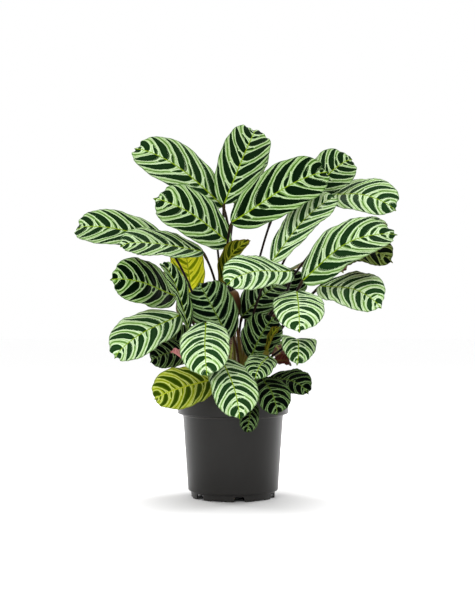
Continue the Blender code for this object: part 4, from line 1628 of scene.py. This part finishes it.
@dataclass(frozen=True)
class Pot:
    """A round nursery pot: a rim band over a tapered wall with a fine bead, on a notched foot ring."""

    rim: float = 60 * MM
    rim_band: float = 25.5 * MM
    height: float = 116 * MM
    shoulder: float = 54.5 * MM
    heel: float = 48.7 * MM
    wall: float = 1.6 * MM
    foot: float = 45.5 * MM
    foot_height: float = 7.4 * MM
    floor_thickness: float = 2.5 * MM
    innermost: float = 0.2 * MM
    notch_count: int = 6
    notch_width: float = 10 * MM
    notch_height: float = 5.7 * MM
    notch_turn: float = 9
    step_width: float = 14 * MM
    step_height: float = 1.3 * MM
    notch_slope: float = 0.8 * MM
    bead: float = 0.7 * MM
    sides: int = 240
    corner_steps: int = 6
    crease: float = 40

    def cuts(self) -> tuple[np.ndarray, np.ndarray, np.ndarray]:
        """The notches and the steps of the foot ring, in turn round the pot.

        Returns:
            The middle angle, half the angle and the height of each.
        """
        order = np.arange(2 * self.notch_count)
        notch = order % 2 == 0
        centres = np.radians(self.notch_turn + order * 180 / self.notch_count - 90) % (2 * math.pi)
        halves = np.arcsin(np.where(notch, self.notch_width, self.step_width) / 2 / self.foot)
        return centres, halves, np.where(notch, self.notch_height, self.step_height)

    def angles(self) -> np.ndarray:
        """Even steps round the pot, with more at the flanks of each notch and step.

        Returns:
            The angles in order, each of them once.
        """
        centres, halves, _ = self.cuts()
        slope = self.notch_slope / self.foot
        near = [centres + sign * (halves + shift * slope) for sign in (-1, 1) for shift in (0, 1)]
        both = np.concatenate((full_turn(self.sides), *near)) % (2 * math.pi)
        return np.unique(np.round(both, 6))

    def foot_edge(self, angle: np.ndarray) -> np.ndarray:
        """Height of the foot ring's lower edge: 0, or a notch or step with sloped flanks.

        Args:
            angle: round the pot.

        Returns:
            The height at each angle.
        """
        centres, halves, heights = self.cuts()
        apart = np.abs((angle[:, None] - centres + math.pi) % (2 * math.pi) - math.pi)
        share = np.clip(1 - (apart - halves) * self.foot / self.notch_slope, 0, 1)
        return (heights * share).max(axis=1)

    def profile(self) -> np.ndarray:
        """The wall's section, from the floor's middle up the inside, over the rim and down to the foot.

        Each row has a corner's radius and height, 1 on the foot's lower edge, and the distance
        from the corner at which the curve that rounds it starts and ends.

        Returns:
            Radius, height and 1 on the foot's lower edge, for each point.
        """
        shoulder = self.height - self.rim_band
        ceiling = self.foot_height - self.wall
        floor = ceiling + self.floor_thickness
        corners = np.array([
            (self.innermost, floor, 0, 0),
            (self.heel - self.wall, floor, 0, 2 * MM),
            (self.shoulder - self.wall, shoulder, 0, 1 * MM),
            (self.rim - self.wall, shoulder + self.wall, 0, 1 * MM),
            (self.rim - self.wall, self.height, 0, 0.6 * MM),
            (self.rim, self.height, 0, 0.8 * MM),
            (self.rim, shoulder, 0, 1.5 * MM),
            (self.shoulder, shoulder, 0, 0.3 * MM),
            (self.shoulder + self.bead, shoulder - 0.4 * MM, 0, 0.3 * MM),
            (self.shoulder + self.bead, shoulder - 1.5 * MM, 0, 0.4 * MM),
            (self.shoulder - 0.12 * MM, shoulder - 2.3 * MM, 0, 0.4 * MM),
            (self.heel, self.foot_height, 0, 1.8 * MM),
            (self.foot, self.foot_height, 0, 0.4 * MM),
            (self.foot, 0, 1, 0.01 * MM),
            (self.foot - self.wall, 0, 1, 0.01 * MM),
            (self.foot - self.wall, ceiling, 0, 0.4 * MM),
            (self.innermost, ceiling, 0, 0),
        ])
        places, sizes = corners[:, :3], corners[:, 3:]
        before, after = np.roll(places, 1, axis=0), np.roll(places, -1, axis=0)
        start = places + sizes * unit((before - places)[:, :2] @ np.eye(2, 3))
        end = places + sizes * unit((after - places)[:, :2] @ np.eye(2, 3))
        t = np.linspace(0, 1, self.corner_steps)[None, :, None]
        curves = (1 - t) ** 2 * start[:, None] + 2 * t * (1 - t) * places[:, None] + t**2 * end[:, None]
        return np.concatenate((places[:1], curves[1:-1].reshape(-1, 3), places[-1:]))

    def build(self, material: bpy.types.Material) -> bpy.types.Object:
        """The pot: its section turned round the axis, with the foot's edge raised at each notch.

        Args:
            material: of the plastic.

        Returns:
            The finished object.
        """
        angle = self.angles()
        section = self.profile()
        radius, height, cut = (section[:, index, None] for index in range(3))
        rings = around(radius, angle, height + cut * self.foot_edge(angle)[None, :])
        middle = [(0, 0, section[0, 1]), (0, 0, section[-1, 1])]
        points = np.concatenate((rings.reshape(-1, 3), middle))
        faces = ring_faces(len(section), len(angle), turned_over=True)
        piece = add_piece("pot_body", points, faces, material, crease=self.crease)
        place(piece, "pot", ["pot"])
        return piece


@dataclass(frozen=True)
class SoftLight:
    """A square soft light: where it hangs, how wide it is and its power."""

    name: str
    spot: tuple[float, float, float]
    width: float
    power: float
    aim: tuple[float, float, float] = (0, 0, 0.22)

    def hang(self) -> None:
        """Adds the light, turned to its aim."""
        data = bpy.data.lights.new(self.name, "AREA")
        data.shape = "SQUARE"
        data.size = self.width
        data.energy = self.power
        lamp = bpy.data.objects.new(self.name, data)
        lamp.location = self.spot
        away = Vector(self.spot) - Vector(self.aim)
        lamp.rotation_euler = away.to_track_quat("Z", "Y").to_euler()
        bpy.context.scene.collection.objects.link(lamp)


@dataclass(frozen=True)
class Studio:
    """A white room with a pale floor, soft lights, and the camera straight in front."""

    camera_spot: tuple[float, float, float] = (0.0048, -1.5, 0.2136)
    focal_pixels: float = 1378.8
    frame_pixels: float = 600
    sensor: float = 36
    floor_size: float = 12
    floor_colour: Colour = (0.98, 0.98, 0.98)
    # The painted contact shadow round the pot: its colour, the y of its middle and its reach
    painted_shadow: Colour = (0.58, 0.58, 0.58)
    painted_shadow_y: float = -0.045
    painted_shadow_reach: float = 0.19
    mottle_light: float = 1.02
    floor_roughness: float = 0.9
    floor_specular: float = 0.1
    room_colour: Colour = (1, 1, 1)
    room_strength: float = 1.0
    lights: tuple[SoftLight, ...] = (
        SoftLight("key", (-0.5, -1.3, 0.85), 0.7, 7.5),
        SoftLight("fill", (1.1, -1.1, 0.8), 1.0, 0.6),
        SoftLight("top", (0.0, 0.6, 1.4), 0.8, 9),
        SoftLight("left", (-0.95, 0.8, 0.5), 0.5, 10, (0, 0, 0.06)),
        SoftLight("right", (0.95, 0.8, 0.5), 0.5, 11, (0, 0, 0.06)),
    )

    def floor_paint(self) -> bpy.types.Material:
        """White with a faint mottle, and painted darker round the pot: a painted contact shadow.

        Returns:
            The material.
        """
        paint = Paint("floor_paint", self.floor_roughness, self.floor_specular)
        x, y, z = paint.axes()
        mottle = paint.noise(paint.point(x, y, z), 40, 2)
        # Painted contact shadow: the floor is painted darker near a point just in front of the pot
        ahead = y - self.painted_shadow_y
        away = (x * x + ahead * ahead) ** 0.5
        light = tuple(value * self.mottle_light for value in self.floor_colour)
        outer = paint.mix(mottle + 0.5, self.floor_colour, light)
        paint.colour(paint.mix(away.step(0, self.painted_shadow_reach), self.painted_shadow, outer))
        return paint.material

    def build(self) -> None:
        """Adds the floor, the room's light, the lamps and the camera."""
        half = self.floor_size / 2
        corners = np.array([(-half, -half, 0), (half, -half, 0), (half, half, 0), (-half, half, 0)])
        floor = add_piece("floor", corners, np.array([[0, 1, 2, 3]]), self.floor_paint())
        world = bpy.data.worlds.new("room")
        world.use_nodes = True
        background = world.node_tree.nodes["Background"]
        feed(world.node_tree, background, {"Color": self.room_colour, "Strength": self.room_strength})
        scene = bpy.context.scene
        scene.world = world
        scene.view_settings.view_transform = "Standard"
        for lamp in self.lights:
            lamp.hang()
        data = bpy.data.cameras.new("camera")
        data.sensor_width = self.sensor
        data.lens = self.focal_pixels / self.frame_pixels * self.sensor
        camera = bpy.data.objects.new("camera", data)
        camera.location = self.camera_spot
        camera.rotation_euler = (math.pi / 2, 0, 0)
        scene.collection.objects.link(camera)
        scene.camera = camera


def main() -> None:
    """Builds the room and each piece of the plant."""
    logging.basicConfig(level=logging.INFO, format="%(message)s")
    Studio().build()
    Pot().build(PotFinish().material())
    Soil().build(SoilFinish().material())
    form = BladeForm()
    stalk_skin = StalkFinish().material()
    for name in SHOOTS:
        Stalks().build(name, form, stalk_skin)
    skins = {look: finish.material(look.value) for look, finish in FINISHES.items()}
    for index, (name, leaf) in enumerate(LEAVES.items()):
        form.build(name, leaf, index, skins[ODD_LOOKS.get(name, LOOKS[leaf.tone])])


if __name__ == "__main__":
    main()
